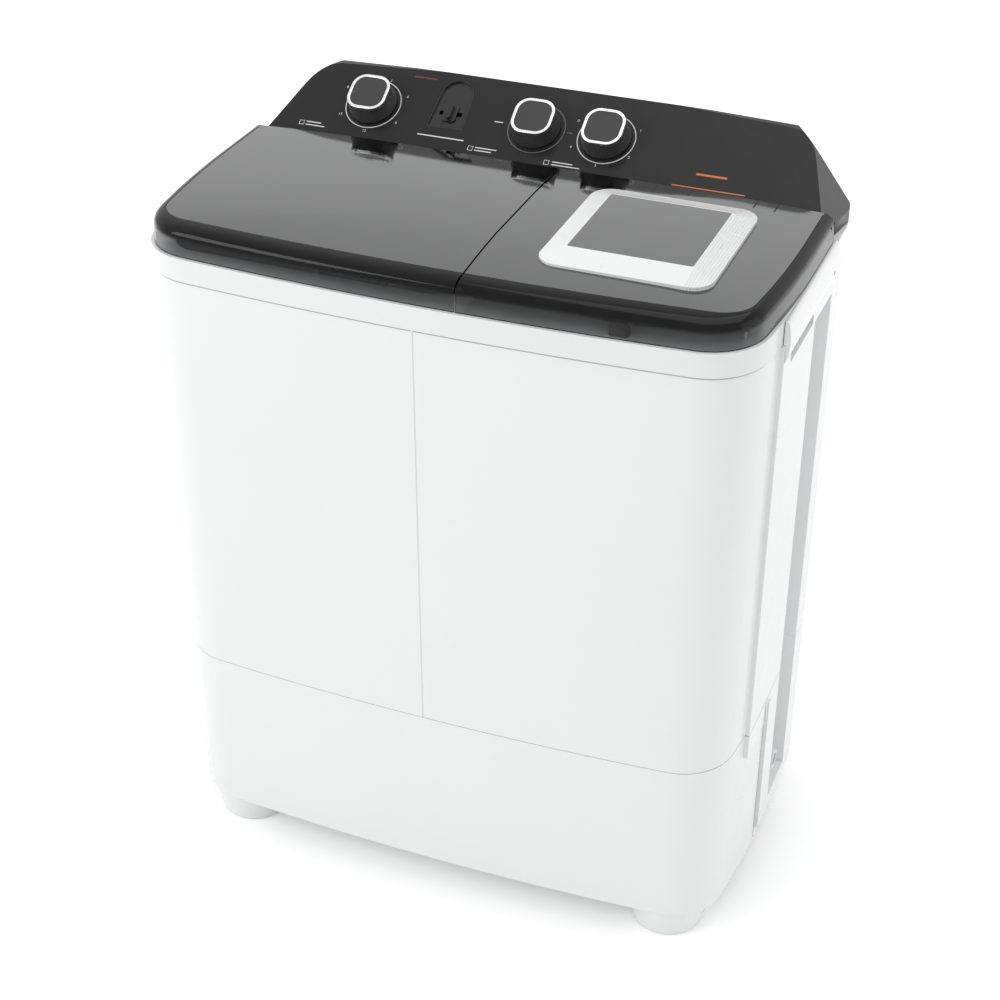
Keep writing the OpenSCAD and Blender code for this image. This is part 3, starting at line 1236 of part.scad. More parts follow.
// Brake: a lever with a shoe, moved by a rod from the spin lid
lever_pin_r = 4;
z_lever = z_drum - 20;
lever_t = 8;
lever_y = post_y - 4 - body_gap - lever_t;
shoe_gap = 4;
shoe_h = 18;
module brake_lever() color([0.5, 0.5, 0.52]) {
    lever_front = lever_y;
    difference() {
        union() {
            block(post_x - 10, lever_front, z_lever - 8, rod_x + 8, lever_front + lever_t, z_lever + 6);
            block(rod_x - 8, lever_front, z_lever - 2, rod_x + 8, rod_y + 6, z_lever + 6);
        }
        block(post_x + 12, lever_front + lever_t - 0.01, z_lever - 9, rod_x - 8, big, z_lever + 20);
    }
    translate([post_x, lever_front, z_lever]) rotate([-90, 0, 0])
        cylinder(r = lever_pin_r, h = lever_t + body_gap + 12);
    block(post_x - 10, lever_front, z_lever - 8, post_x + 4, lever_front + lever_t, z_drum + shoe_h + 4);
    block(post_x - 10, lever_front, z_drum + shoe_h - 4, post_x - 2, spin_y + 14, z_drum + shoe_h + 4);
    block(spin_x + drum_r + shoe_gap, spin_y - 14, z_drum + 1, post_x - 2, spin_y + 14, z_drum + shoe_h + 4);
}
module brake_rod() color([0.75, 0.75, 0.77]) translate([rod_x, rod_y, z_lever + 6 + body_gap]) {
    cylinder(r = rod_r, h = rod_top - z_lever - 6 - body_gap);
    cylinder(r = 4, h = 8);
}

// Drain valve, its plunger and hoses
valve_r = 30;
z_seat = z_tub - wall - 34;
valve_bottom = z_seat - 36;
stub_z = z_seat - 20;
stub_l = 48;
side_stub_l = 46;
side_stub_turn = 70;
module drain_valve() color([0.84, 0.85, 0.86]) translate([drain_x, drain_y, 0]) difference() {
    union() {
        translate([0, 0, valve_bottom]) cylinder(r = valve_r, h = z_tub - wall - valve_bottom);
        translate([0, 0, stub_z]) rotate([0, 90, 0]) cylinder(r = hose_r + 2, h = stub_l);
        rotate([0, 0, -side_stub_turn]) translate([0, 0, stub_z]) rotate([0, 90, 0])
            cylinder(r = hose_r - 1, h = side_stub_l);
    }
    translate([0, 0, z_seat]) cylinder(r = valve_r - 4, h = z_tub - z_seat);
    translate([0, 0, valve_bottom + 4]) cylinder(r = 12, h = 60);
    translate([0, 0, stub_z]) rotate([0, 90, 0]) cylinder(r = hose_r - 2, h = stub_l + 1);
}
plunger_r = 18;
module drain_plunger() color([0.25, 0.45, 0.6]) translate([drain_x, drain_y, z_seat + 0.3]) {
    cylinder(r = plunger_r, h = 6);
    cylinder(r = 9, h = 14);
    cylinder(r = 3, h = overflow_top - 20 - z_seat);
}
module drain_outlet() color([0.85, 0.86, 0.87]) {
    oy = (channel_y0 + recess_y1) / 2;
    x0 = half_w - channel_d - wall;
    translate([x0 - 24, oy, spigot_z]) rotate([0, 90, 0]) difference() {
        union() {
            cylinder(r = hose_r + wall - run_fit, h = 24 + wall);
            translate([0, 0, 24 + wall]) cylinder(r = spigot_r, h = spigot_l);
            translate([0, 0, 24 - 4]) cylinder(r = hose_r + wall + 5, h = 4);
        }
        translate([0, 0, 6]) cylinder(r = hose_r - 3, h = 24 + wall + spigot_l);
    }
}
outlet_x = half_w - channel_d - wall - 24;
outlet_y = (channel_y0 + recess_y1) / 2;
module drain_hoses() color([0.75, 0.76, 0.77]) {
    main_start = [drain_x + stub_l, drain_y, stub_z];
    main_end = [outlet_x, outlet_y, spigot_z];
    tube(hose_path(main_start, [1, 0, 0], 70, main_end, [1, 0, 0], 170, 16), hose_r, 10);
    // short hose from the spin well's port to the drain valve's side stub
    out = [cos(side_stub_turn), -sin(side_stub_turn), 0];
    well_start = [well_port_x, well_port_y, z_well - wall - 0.2];
    well_end = [drain_x, drain_y, stub_z] + side_stub_l * out;
    tube(hose_path(well_start, [0, 0, -1], 44, well_end, -out, 44, 12), hose_r - 2, 10);
}

// Small parts
cap_radius = 20;
cap_height = 72;
cap_x = 70 - half_w;
cap_y = body_rear - 145;
module motor_capacitors() color([0.8, 0.81, 0.83]) for (dy = [0, 50])
    translate([cap_x, cap_y + dy, z_floor]) {
        cylinder(r = cap_radius, h = cap_height);
        for (s = [-1, 1]) translate([s * 8 - 2, -3, cap_height - lap]) cube([4, 6, 8]);
    }
switch_x = spin_x + 13;
switch_t = 14;
switch_l = 22;
switch_h = 16;
switch_y = body_front + 16;
module lid_switch() color([0.1, 0.1, 0.11]) {
    translate([switch_x, switch_y, z_deck]) linear_extrude(switch_h)
        polygon(round_rect(-switch_l / 2, 0, switch_l / 2, switch_t, 3, 4));
    block(switch_x - 6, switch_y + 4, z_deck + switch_h - lap, switch_x + 6, switch_y + switch_t - 4,
        z_deck + switch_h + 3);
}
screw_r = 4.5;
screw_t = 2.5;
module cover_screws() color([0.6, 0.61, 0.63]) {
    cover_x = rear_mouth_w / 2 + cover_lap / 2 - 2;
    for (s = [-1, 1]) for (z = [z_base + 60, z_panel + 40, z_panel + 280, rear_mouth_z1 - 30])
        translate([s * cover_x, body_rear + cover_t, z]) rotate([-90, 0, 0])
            cylinder(r = screw_r, h = screw_t);
}

base_pan();
left_body_panel();
right_body_panel();
rear_cover();
top_frame();
side_grips();
front_feet();
rear_feet();
console_housing();
console_fascia();
selector_bezel();
wash_timer();
drain_switch();
spin_timer();
water_channel();
water_inlet();
wash_tub();
lint_filter();
overflow_pipe();
shaft_seal();
bearing_housing();
wash_motor();
motor_bracket();
drive_belt();
spin_well();
well_bellows();
spin_motor();
motor_plate();
suspension_springs();
drain_valve();
drain_hoses();
drain_outlet();
motor_capacitors();
lid_switch();
hinge_pins();
cover_screws();
cord_bush();
wash_lid_shell();
wash_lid_top();
spin_lid_shell();
spin_lid_top();
spin_lid_trim();
spin_lid_cap();
wash_knob();
wash_knob_ring();
drain_knob();
drain_knob_ring();
spin_knob();
spin_knob_ring();
water_selector();
pulsator();
pulsator_shaft();
drive_pulley();
rotor_pulley();
spin_basket();
balance_ring();
spin_shaft();
brake_lever();
brake_rod();
drain_plunger();
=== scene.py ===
import json
import math

import bpy
from mathutils import Matrix, Vector


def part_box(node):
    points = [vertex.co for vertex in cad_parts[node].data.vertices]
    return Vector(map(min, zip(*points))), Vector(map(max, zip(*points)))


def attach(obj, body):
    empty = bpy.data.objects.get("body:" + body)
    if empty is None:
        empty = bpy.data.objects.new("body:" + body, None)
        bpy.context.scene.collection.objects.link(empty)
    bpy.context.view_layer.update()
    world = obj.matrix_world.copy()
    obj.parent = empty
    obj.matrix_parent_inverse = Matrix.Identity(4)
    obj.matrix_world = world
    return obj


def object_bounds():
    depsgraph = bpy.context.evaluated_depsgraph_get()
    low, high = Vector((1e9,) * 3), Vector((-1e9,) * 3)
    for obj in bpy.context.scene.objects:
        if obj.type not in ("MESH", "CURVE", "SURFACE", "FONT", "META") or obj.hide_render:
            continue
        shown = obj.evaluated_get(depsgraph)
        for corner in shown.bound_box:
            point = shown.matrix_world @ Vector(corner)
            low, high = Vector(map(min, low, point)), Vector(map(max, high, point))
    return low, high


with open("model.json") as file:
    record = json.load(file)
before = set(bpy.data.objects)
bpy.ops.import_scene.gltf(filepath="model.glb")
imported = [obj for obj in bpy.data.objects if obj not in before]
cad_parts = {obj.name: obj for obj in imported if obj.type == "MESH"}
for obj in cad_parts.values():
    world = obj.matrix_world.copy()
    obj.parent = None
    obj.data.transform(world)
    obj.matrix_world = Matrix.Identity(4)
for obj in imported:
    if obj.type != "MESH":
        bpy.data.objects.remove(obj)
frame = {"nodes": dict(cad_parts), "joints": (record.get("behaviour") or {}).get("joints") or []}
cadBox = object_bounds()
nodes = frame["nodes"]
joints = {joint["name"]: joint for joint in frame["joints"]}
mm = 0.001
gripGap = 0.4  # mm from the top of the grips up to the deck
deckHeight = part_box("side_grips")[1].z + gripGap * mm
print("frame loaded:", len(nodes), "nodes")


# Shader groups that several finishes share

def newGroup(name, inputs, outputs):
    group = bpy.data.node_groups.new(name, "ShaderNodeTree")
    for label, kind, value in inputs:
        socket = group.interface.new_socket(label, in_out="INPUT", socket_type=kind)
        socket.default_value = value
    for label, kind in outputs:
        group.interface.new_socket(label, in_out="OUTPUT", socket_type=kind)
    return group, group.nodes.new("NodeGroupInput"), group.nodes.new("NodeGroupOutput")


def addNode(tree, kind, **settings):
    node = tree.nodes.new(kind)
    for key, value in settings.items():
        setattr(node, key, value)
    return node


def addMath(tree, operation, first, second):
    node = addNode(tree, "ShaderNodeMath", operation=operation)
    for socket, value in zip(node.inputs, (first, second)):
        if isinstance(value, bpy.types.NodeSocket):
            tree.links.new(value, socket)
        else:
            socket.default_value = value
    return node.outputs[0]


def addNoise(tree, coords, scale, detail):
    noise = addNode(tree, "ShaderNodeTexNoise")
    noise.inputs["Detail"].default_value = detail
    if isinstance(scale, bpy.types.NodeSocket):
        tree.links.new(scale, noise.inputs["Scale"])
    else:
        noise.inputs["Scale"].default_value = scale
    tree.links.new(coords, noise.inputs["Vector"])
    return noise.outputs["Fac"]


def splitCoords(tree, output="Object"):
    split = addNode(tree, "ShaderNodeSeparateXYZ")
    tree.links.new(addNode(tree, "ShaderNodeTexCoord").outputs[output], split.inputs[0])
    return split.outputs


def addRange(tree, value, low, high, interpolation="LINEAR"):
    node = addNode(tree, "ShaderNodeMapRange", interpolation_type=interpolation)
    node.inputs["From Min"].default_value = low
    node.inputs["From Max"].default_value = high
    tree.links.new(value, node.inputs["Value"])
    return node


def addSeenRay(tree):
    # 1 for the rays that show a surface: straight, mirrored or seen through
    path = addNode(tree, "ShaderNodeLightPath")
    bent = addMath(tree, "MAXIMUM", path.outputs["Is Glossy Ray"], path.outputs["Is Transmission Ray"])
    return addMath(tree, "MAXIMUM", path.outputs["Is Camera Ray"], bent)


def shadeColour(group, given, result, noise, amount):
    # varies the given colour with a noise and returns the factor
    centred = addMath(group, "SUBTRACT", noise, 0.5)
    shade = addMath(group, "ADD", addMath(group, "MULTIPLY", centred, given.outputs[amount]), 1.0)
    tone = addNode(group, "ShaderNodeVectorMath", operation="SCALE")
    group.links.new(given.outputs["Colour"], tone.inputs[0])
    group.links.new(shade, tone.inputs["Scale"])
    group.links.new(tone.outputs[0], result.inputs["Colour"])
    return shade


# noise of the two groups: (scale, detail)
plasticNoise = {"mottle": (7.0, 3.0), "smear": (23.0, 4.0), "grainDetail": 2.0}
metalNoise = {"streak": (30.0, 4.0), "stretch": (1.0, 1.0, 40.0)}


def buildMouldedPlastic():
    # slow mottle in colour and gloss, and a fine moulding grain
    group, given, result = newGroup(
        "mouldedPlastic",
        [("Colour", "NodeSocketColor", (0.8, 0.8, 0.8, 1)), ("Gloss", "NodeSocketFloat", 0.3),
         ("Mottle", "NodeSocketFloat", 0.03), ("Grain Scale", "NodeSocketFloat", 900.0)],
        [("Colour", "NodeSocketColor"), ("Roughness", "NodeSocketFloat"), ("Height", "NodeSocketFloat")])
    coords = addNode(group, "ShaderNodeTexCoord").outputs["Object"]
    shadeColour(group, given, result, addNoise(group, coords, *plasticNoise["mottle"]), "Mottle")
    smear = addNoise(group, coords, *plasticNoise["smear"])
    rough = addMath(group, "MULTIPLY", given.outputs["Gloss"], addMath(group, "ADD", smear, 0.5))
    group.links.new(rough, result.inputs["Roughness"])
    grain = addNoise(group, coords, given.outputs["Grain Scale"], plasticNoise["grainDetail"])
    group.links.new(grain, result.inputs["Height"])
    return group


def buildMetalGrain():
    # drawn or turned metal: long thin streaks along one axis
    group, given, result = newGroup(
        "metalGrain",
        [("Colour", "NodeSocketColor", (0.6, 0.6, 0.6, 1)), ("Gloss", "NodeSocketFloat", 0.3),
         ("Streaks", "NodeSocketFloat", 0.2)],
        [("Colour", "NodeSocketColor"), ("Roughness", "NodeSocketFloat"), ("Height", "NodeSocketFloat")])
    coords = addNode(group, "ShaderNodeTexCoord").outputs["Object"]
    stretch = addNode(group, "ShaderNodeMapping")
    stretch.inputs["Scale"].default_value = metalNoise["stretch"]
    group.links.new(coords, stretch.inputs["Vector"])
    streak = addNoise(group, stretch.outputs["Vector"], *metalNoise["streak"])
    shade = shadeColour(group, given, result, streak, "Streaks")
    group.links.new(addMath(group, "MULTIPLY", given.outputs["Gloss"], shade), result.inputs["Roughness"])
    group.links.new(streak, result.inputs["Height"])
    return group


mouldedPlastic = buildMouldedPlastic()
metalGrain = buildMetalGrain()


# Finishes

plasticFinish = {
    "cabinetWhite": dict(colour=(0.80, 0.815, 0.815), gloss=0.22, mottle=0.02, grain=700, bump=0.010,
                         coat=0.3),
    "trimWhite": dict(colour=(0.77, 0.775, 0.775), gloss=0.16, mottle=0.015, grain=800, bump=0.006, coat=0.4),
    # painted shade: a darker copy of the trim white for the spin lid's upward-facing trim
    "lidTrimShadedWhite": dict(colour=(0.74, 0.745, 0.745), gloss=0.25, mottle=0.015, grain=800, bump=0.006,
                         coat=0.1),
    "consoleBlack": dict(colour=(0.020, 0.020, 0.021), gloss=0.32, mottle=0.15, grain=1400, bump=0.02,
                         specular=0.16,
                         # painted sheen on the ends: range of the normal over which the coat is added
                         paintedSideSheen=(0.25, 0.6)),
    "fasciaBlack": dict(colour=(0.019, 0.019, 0.020), gloss=0.28, mottle=0.12, grain=1400, bump=0.01,
                        specular=0.16),
    "bezelBlack": dict(colour=(0.016, 0.016, 0.017), gloss=0.1, mottle=0.1, grain=900, bump=0.004,
                       specular=0.4),
    "knobGrey": dict(colour=(0.048, 0.048, 0.049), gloss=0.3, mottle=0.15, grain=1600, bump=0.02,
                     specular=0.2),
    "tubPlastic": dict(colour=(0.66, 0.71, 0.74), gloss=0.35, mottle=0.05, grain=500, bump=0.03),
    "wellPlastic": dict(colour=(0.72, 0.745, 0.75), gloss=0.38, mottle=0.05, grain=500, bump=0.03),
    "basketPlastic": dict(colour=(0.60, 0.635, 0.67), gloss=0.32, mottle=0.05, grain=500, bump=0.03),
    "balanceBlue": dict(colour=(0.10, 0.24, 0.46), gloss=0.2, mottle=0.08, grain=500, bump=0.02),
    "filterBlue": dict(colour=(0.22, 0.44, 0.58), gloss=0.22, mottle=0.06, grain=500, bump=0.02),
    "switchCream": dict(colour=(0.58, 0.55, 0.46), gloss=0.45, mottle=0.08, grain=600, bump=0.03),
    "fittingWhite": dict(colour=(0.70, 0.71, 0.72), gloss=0.4, mottle=0.06, grain=600, bump=0.03),
    "rubberBlack": dict(colour=(0.018, 0.018, 0.018), gloss=0.65, mottle=0.3, grain=900, bump=0.08,
                        specular=0.3),
    "hoseGrey": dict(colour=(0.30, 0.31, 0.32), gloss=0.55, mottle=0.12, grain=600, bump=0.06),
    "motorPaint": dict(colour=(0.075, 0.08, 0.085), gloss=0.42, mottle=0.15, grain=500, bump=0.05),
    "inkWhite": dict(colour=(0.62, 0.62, 0.62), gloss=0.5, mottle=0.1, grain=2000, bump=0.01),
    "inkDim": dict(colour=(0.12, 0.12, 0.12), gloss=0.5, mottle=0.1, grain=2000, bump=0.01),
    "inkOrange": dict(colour=(0.55, 0.13, 0.035), gloss=0.5, mottle=0.1, grain=2000, bump=0.01),
    "inkRed": dict(colour=(0.13, 0.018, 0.012), gloss=0.5, mottle=0.1, grain=2000, bump=0.01),
    # grey of the painted shadow strip under the white band
    "seamShadowGrey": dict(colour=(0.46, 0.465, 0.465), gloss=0.6, mottle=0.05, grain=900, bump=0.01, specular=0.2),
    "slitDark": dict(colour=(0.03, 0.03, 0.03), gloss=0.6, mottle=0.1, grain=900, bump=0.01, specular=0.2),
}
metalFinish = {
    "ringBright": dict(colour=(0.86, 0.865, 0.87), gloss=0.16, streaks=0.05, bump=0.004),
    # the lid mirror's front colour is painted shade, darker towards the front edge
    "lidMirror": dict(colour=(0.228, 0.229, 0.232), gloss=0.07, streaks=0.02, bump=0.0005,
                      front=(0.162, 0.163, 0.166)),
    "steelBright": dict(colour=(0.55, 0.56, 0.575), gloss=0.3, streaks=0.25, bump=0.02),
    "zincMetal": dict(colour=(0.46, 0.47, 0.49), gloss=0.42, streaks=0.3, bump=0.03),
}
coatRoughness = 0.08
smokeFinish = dict(skirt=(0.66, 0.665, 0.675), shoulder=(0.008, 0.008, 0.009), skirtTop=18, shoulderFrom=23,
                   gloss=0.06, index=1.3, specular=0.2, mottle=0.04, grazing=(0.5, 0.9))


def startMaterial(name, group, values):
    material = bpy.data.materials.new(name)
    material.use_nodes = True
    tree = material.node_tree
    surface = tree.nodes["Principled BSDF"]
    skin = addNode(tree, "ShaderNodeGroup", node_tree=group)
    for label, value in values.items():
        skin.inputs[label].default_value = value
    tree.links.new(skin.outputs["Colour"], surface.inputs["Base Color"])
    tree.links.new(skin.outputs["Roughness"], surface.inputs["Roughness"])
    return material, tree, surface, skin


def addBump(tree, surface, skin, strength):
    bump = addNode(tree, "ShaderNodeBump")
    bump.inputs["Strength"].default_value = strength
    bump.inputs["Distance"].default_value = mm
    tree.links.new(skin.outputs["Height"], bump.inputs["Height"])
    tree.links.new(bump.outputs["Normal"], surface.inputs["Normal"])


def makePlastic(name, finish):
    material, tree, surface, skin = startMaterial(name, mouldedPlastic, {
        "Colour": (*finish["colour"], 1), "Gloss": finish["gloss"], "Mottle": finish["mottle"],
        "Grain Scale": finish["grain"]})
    surface.inputs["Specular IOR Level"].default_value = finish.get("specular", 0.5)
    surface.inputs["Coat Weight"].default_value = finish.get("coat", 0.0)
    surface.inputs["Coat Roughness"].default_value = coatRoughness
    addBump(tree, surface, skin, finish["bump"])
    if "paintedSideSheen" in finish:
        addPaintedSideSheen(tree, surface, finish["paintedSideSheen"])
    return material


def addPaintedSideSheen(tree, surface, facing):
    # painted sheen: the coat grows only where the surface slants to the left or right and also faces up, lightening the
    # console's ends
    normal = splitCoords(tree, "Normal")
    sideways = addMath(tree, "ABSOLUTE", normal["X"], 0.0)
    shares = [addRange(tree, value, *facing, "SMOOTHSTEP").outputs["Result"] for value in (sideways,
                                                                                           normal["Z"])]
    tree.links.new(addMath(tree, "MULTIPLY", *shares), surface.inputs["Coat Weight"])


def makeMetal(name, finish):
    material, tree, surface, skin = startMaterial(name, metalGrain, {
        "Colour": (*finish["colour"], 1), "Gloss": finish["gloss"], "Streaks": finish["streaks"]})
    surface.inputs["Metallic"].default_value = 1.0
    addBump(tree, surface, skin, finish["bump"])
    if "front" in finish:
        addPaintedShadeFade(tree, skin, finish["front"], finish["colour"])
    return material


fadeStop = 100  # mm ahead of the rear end, where the lids end


def addPaintedShadeFade(tree, skin, front, rear):
    # painted shade: the lid colour darkens slightly from the rear edge to the front
    reach = addRange(tree, splitCoords(tree)["Y"], cadBox[0].y, cadBox[1].y - fadeStop * mm)
    blend = addNode(tree, "ShaderNodeMix", data_type="RGBA")
    blend.inputs["A"].default_value = (*front, 1)
    blend.inputs["B"].default_value = (*rear, 1)
    tree.links.new(reach.outputs["Result"], blend.inputs["Factor"])
    tree.links.new(blend.outputs["Result"], skin.inputs["Colour"])


def makeSmoke(name, finish):
    # clear grey low on the skirt, nearly black over the shoulder
    material, tree, surface, skin = startMaterial(name, mouldedPlastic, {
        "Gloss": finish["gloss"], "Mottle": finish["mottle"]})
    height = addRange(tree, splitCoords(tree)["Z"], deckHeight + finish["skirtTop"] * mm,
                      deckHeight + finish["shoulderFrom"] * mm, "SMOOTHSTEP")
    blend = addNode(tree, "ShaderNodeMix", data_type="RGBA")
    blend.inputs["A"].default_value = (*finish["skirt"], 1)
    blend.inputs["B"].default_value = (*finish["shoulder"], 1)
    tree.links.new(height.outputs["Result"], blend.inputs["Factor"])
    # a slanting look goes through more of the plastic
    slant = addNode(tree, "ShaderNodeLayerWeight")
    slant.inputs["Blend"].default_value = 0.5
    deep = addRange(tree, slant.outputs["Facing"], *finish["grazing"], "SMOOTHSTEP")
    darker = addNode(tree, "ShaderNodeMix", data_type="RGBA")
    darker.inputs["B"].default_value = (*finish["shoulder"], 1)
    tree.links.new(blend.outputs["Result"], darker.inputs["A"])
    tree.links.new(deep.outputs["Result"], darker.inputs["Factor"])
    tree.links.new(darker.outputs["Result"], skin.inputs["Colour"])
    surface.inputs["Transmission Weight"].default_value = 1.0
    surface.inputs["IOR"].default_value = finish["index"]
    surface.inputs["Specular IOR Level"].default_value = finish["specular"]
    return material


ribFinish = dict(base="lidTrimShadedWhite", pitch=3.4, depth=0.35, margin=2, sideFrom=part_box("spin_lid_cap")[1].x)


def addRibs(material, finish):
    # fine crossed ribs on the part of the trim that lies right of the cap
    tree = material.node_tree
    surface = tree.nodes["Principled BSDF"]
    place = splitCoords(tree)
    turn = 2 * math.pi / (finish["pitch"] * mm)
    across = addMath(tree, "SINE", addMath(tree, "MULTIPLY", place["X"], turn), 0.0)
    along = addMath(tree, "SINE", addMath(tree, "MULTIPLY", place["Y"], turn), 0.0)
    mask = addMath(tree, "GREATER_THAN", place["X"], finish["sideFrom"] + finish["margin"] * mm)
    height = addMath(tree, "MULTIPLY", addMath(tree, "MAXIMUM", across, along), mask)
    bump = addNode(tree, "ShaderNodeBump")
    bump.inputs["Strength"].default_value = 1.0
    bump.inputs["Distance"].default_value = finish["depth"] * mm
    tree.links.new(height, bump.inputs["Height"])
    tree.links.new(bump.outputs["Normal"], surface.inputs["Normal"])


finishes = {name: makePlastic(name, finish) for name, finish in plasticFinish.items()}
finishes["trimRibbed"] = makePlastic("trimRibbed", plasticFinish[ribFinish["base"]])
addRibs(finishes["trimRibbed"], ribFinish)
finishes.update({name: makeMetal(name, finish) for name, finish in metalFinish.items()})
finishes["lidSmoke"] = makeSmoke("lidSmoke", smokeFinish)
print("finishes made:", len(finishes))


# Finish and edge rounding of each CAD node: (finish, edge radius in mm)

dress = {
    "base_pan": ("cabinetWhite", 1.2), "left_body_panel": ("cabinetWhite", 0.8),
    "right_body_panel": ("cabinetWhite", 0.8), "rear_cover": ("cabinetWhite", 0.6),
    "top_frame": ("trimWhite", 1.4), "side_grips": ("trimWhite", 1.5),
    "front_feet": ("cabinetWhite", 1.0), "rear_feet": ("cabinetWhite", 1.0),
    "console_housing": ("consoleBlack", 1.2), "console_fascia": ("fasciaBlack", 0.0),
    "selector_bezel": ("bezelBlack", 0.4), "water_selector": ("bezelBlack", 0.6),
    "wash_timer": ("switchCream", 0.6), "drain_switch": ("switchCream", 0.6), "spin_timer": ("switchCream",
                                                                                             0.6),
    "water_channel": ("fittingWhite", 0.6), "water_inlet": ("fittingWhite", 0.6),
    "wash_tub": ("tubPlastic", 0.8), "lint_filter": ("filterBlue", 0.6), "overflow_pipe": ("tubPlastic", 0.6),
    "shaft_seal": ("rubberBlack", 0.3), "bearing_housing": ("zincMetal", 0.8),
    "wash_motor": ("motorPaint", 0.8), "motor_bracket": ("zincMetal", 0.6), "drive_belt": ("rubberBlack",
                                                                                           0.6),
    "spin_well": ("wellPlastic", 0.8), "well_bellows": ("rubberBlack", 0.5), "spin_motor": ("motorPaint",
                                                                                            0.8),
    "motor_plate": ("zincMetal", 0.8), "suspension_springs": ("steelBright", 0.0),
    "drain_valve": ("fittingWhite", 0.8), "drain_hoses": ("hoseGrey", 0.0), "drain_outlet": ("fittingWhite",
                                                                                             0.6),
    "motor_capacitors": ("zincMetal", 0.8), "lid_switch": ("rubberBlack", 0.6),
    "hinge_pins": ("steelBright", 0.3),
    "cover_screws": ("steelBright", 0.4), "cord_bush": ("rubberBlack", 0.4),
    "wash_lid_shell": ("lidSmoke", 0.0), "wash_lid_top": ("lidMirror", 0.0),
    "spin_lid_shell": ("lidSmoke", 0.0), "spin_lid_top": ("lidMirror", 0.0),
    "spin_lid_trim": ("trimRibbed", 0.6), "spin_lid_cap": ("lidMirror", 0.2),
    "wash_knob": ("knobGrey", 0.4), "drain_knob": ("knobGrey", 0.4), "spin_knob": ("knobGrey", 0.4),
    "wash_knob_ring": ("ringBright", 0.7), "drain_knob_ring": ("ringBright", 0.7),
    "spin_knob_ring": ("ringBright", 0.7),
    "pulsator": ("basketPlastic", 1.0), "pulsator_shaft": ("steelBright", 0.4),
    "drive_pulley": ("zincMetal", 0.5),
    "rotor_pulley": ("zincMetal", 0.5), "spin_basket": ("basketPlastic", 0.6),
    "balance_ring": ("balanceBlue", 0.6),
    "spin_shaft": ("steelBright", 0.5), "brake_lever": ("zincMetal", 0.6), "brake_rod": ("steelBright", 0.3),
    "drain_plunger": ("filterBlue", 0.4),
}
flatNodes = {"console_fascia", "rear_cover"}
# angle in degrees from which an edge is rounded, joined distance and least radius in mm
edgeRounding = {"angle": 32, "join": 0.02, "least": 0.15}


def dressNode(name, finish, edge):
    obj = nodes[name]
    mesh = obj.data
    if mesh.attributes.get("custom_normal"):
        mesh.attributes.remove(mesh.attributes["custom_normal"])
    mesh.polygons.foreach_set("use_smooth", [name not in flatNodes] * len(mesh.polygons))
    mesh.materials.clear()
    mesh.materials.append(finishes[finish])
    if name in flatNodes:
        return
    weld = obj.modifiers.new("joinEdges", "WELD")
    weld.merge_threshold = edgeRounding["join"] * mm
    bevel = obj.modifiers.new("roundEdges", "BEVEL")
    bevel.limit_method = "ANGLE"
    bevel.angle_limit = math.radians(edgeRounding["angle"])
    bevel.width = max(edge, edgeRounding["least"]) * mm
    bevel.segments = 2 if edge else 1
    bevel.use_clamp_overlap = True
    bevel.harden_normals = True


for name, (finish, edge) in dress.items():
    dressNode(name, finish, edge)
print("CAD nodes dressed:", len(dress), "of", len(nodes))


# Printed marks on the console's face

dialAxis = Vector(joints["drain_turn"]["axis"])
dialCentre = {name: Vector(joints[name]["pos_m"]) for name in ("wash_timer_turn", "drain_turn",
                                                               "spin_timer_turn")}
faceUp = Vector((0, dialAxis.z, -dialAxis.y))
faceMatrix = Matrix((Vector((1, 0, 0)), faceUp, dialAxis)).transposed().to_4x4()
printLift = 0.12  # mm above the face
dialSlope = 0.055  # metres from the console's front edge up the slope to the dials


def facePoint(x, s):
    return Vector((x * mm, dialCentre["drain_turn"].y,
                   dialCentre["drain_turn"].z)) + faceUp * (s * mm - dialSlope)


def meshPiece(name, points, faces, finish, body="cabinet"):
    mesh = bpy.data.meshes.new(name)
    mesh.from_pydata(points, [], faces)
    mesh.materials.append(finishes[finish])
    obj = bpy.data.objects.new(name, mesh)
    bpy.context.scene.collection.objects.link(obj)
    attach(obj, body)


def printRing(name, centre, radius, width, finish, steps=96):
    points, faces = [], []
    for i in range(steps + 1):
        angle = math.radians(360.0 * i / steps)
        for r in (radius - width / 2, radius + width / 2):
            local = Vector((r * math.cos(angle) * mm, r * math.sin(angle) * mm, printLift * mm))
            points.append(centre + faceMatrix.to_3x3() @ local)
    for i in range(steps):
        faces.append((2 * i, 2 * i + 1, 2 * i + 3, 2 * i + 2))
    meshPiece(name, points, faces, finish)


def printStroke(name, x, s, path, width, finish):
    # flat stroke of even width along a path in the face's own millimetres
    left, right = [], []
    for i, here in enumerate(path):
        before, after = Vector(path[max(i - 1, 0)]), Vector(path[min(i + 1, len(path) - 1)])
        along = (after - before).normalized()
        side = Vector((-along.y, along.x)) * width / 2
        for row, sign in ((left, 1), (right, -1)):
            row.append(facePoint(x, s) + faceMatrix.to_3x3() @ Vector(
                ((here[0] + sign * side.x) * mm, (here[1] + sign * side.y) * mm, printLift * mm)))
    count = len(path)
    faces = [(i + count, i + count + 1, i + 1, i) for i in range(count - 1)]
    meshPiece(name, left + right, faces, finish)


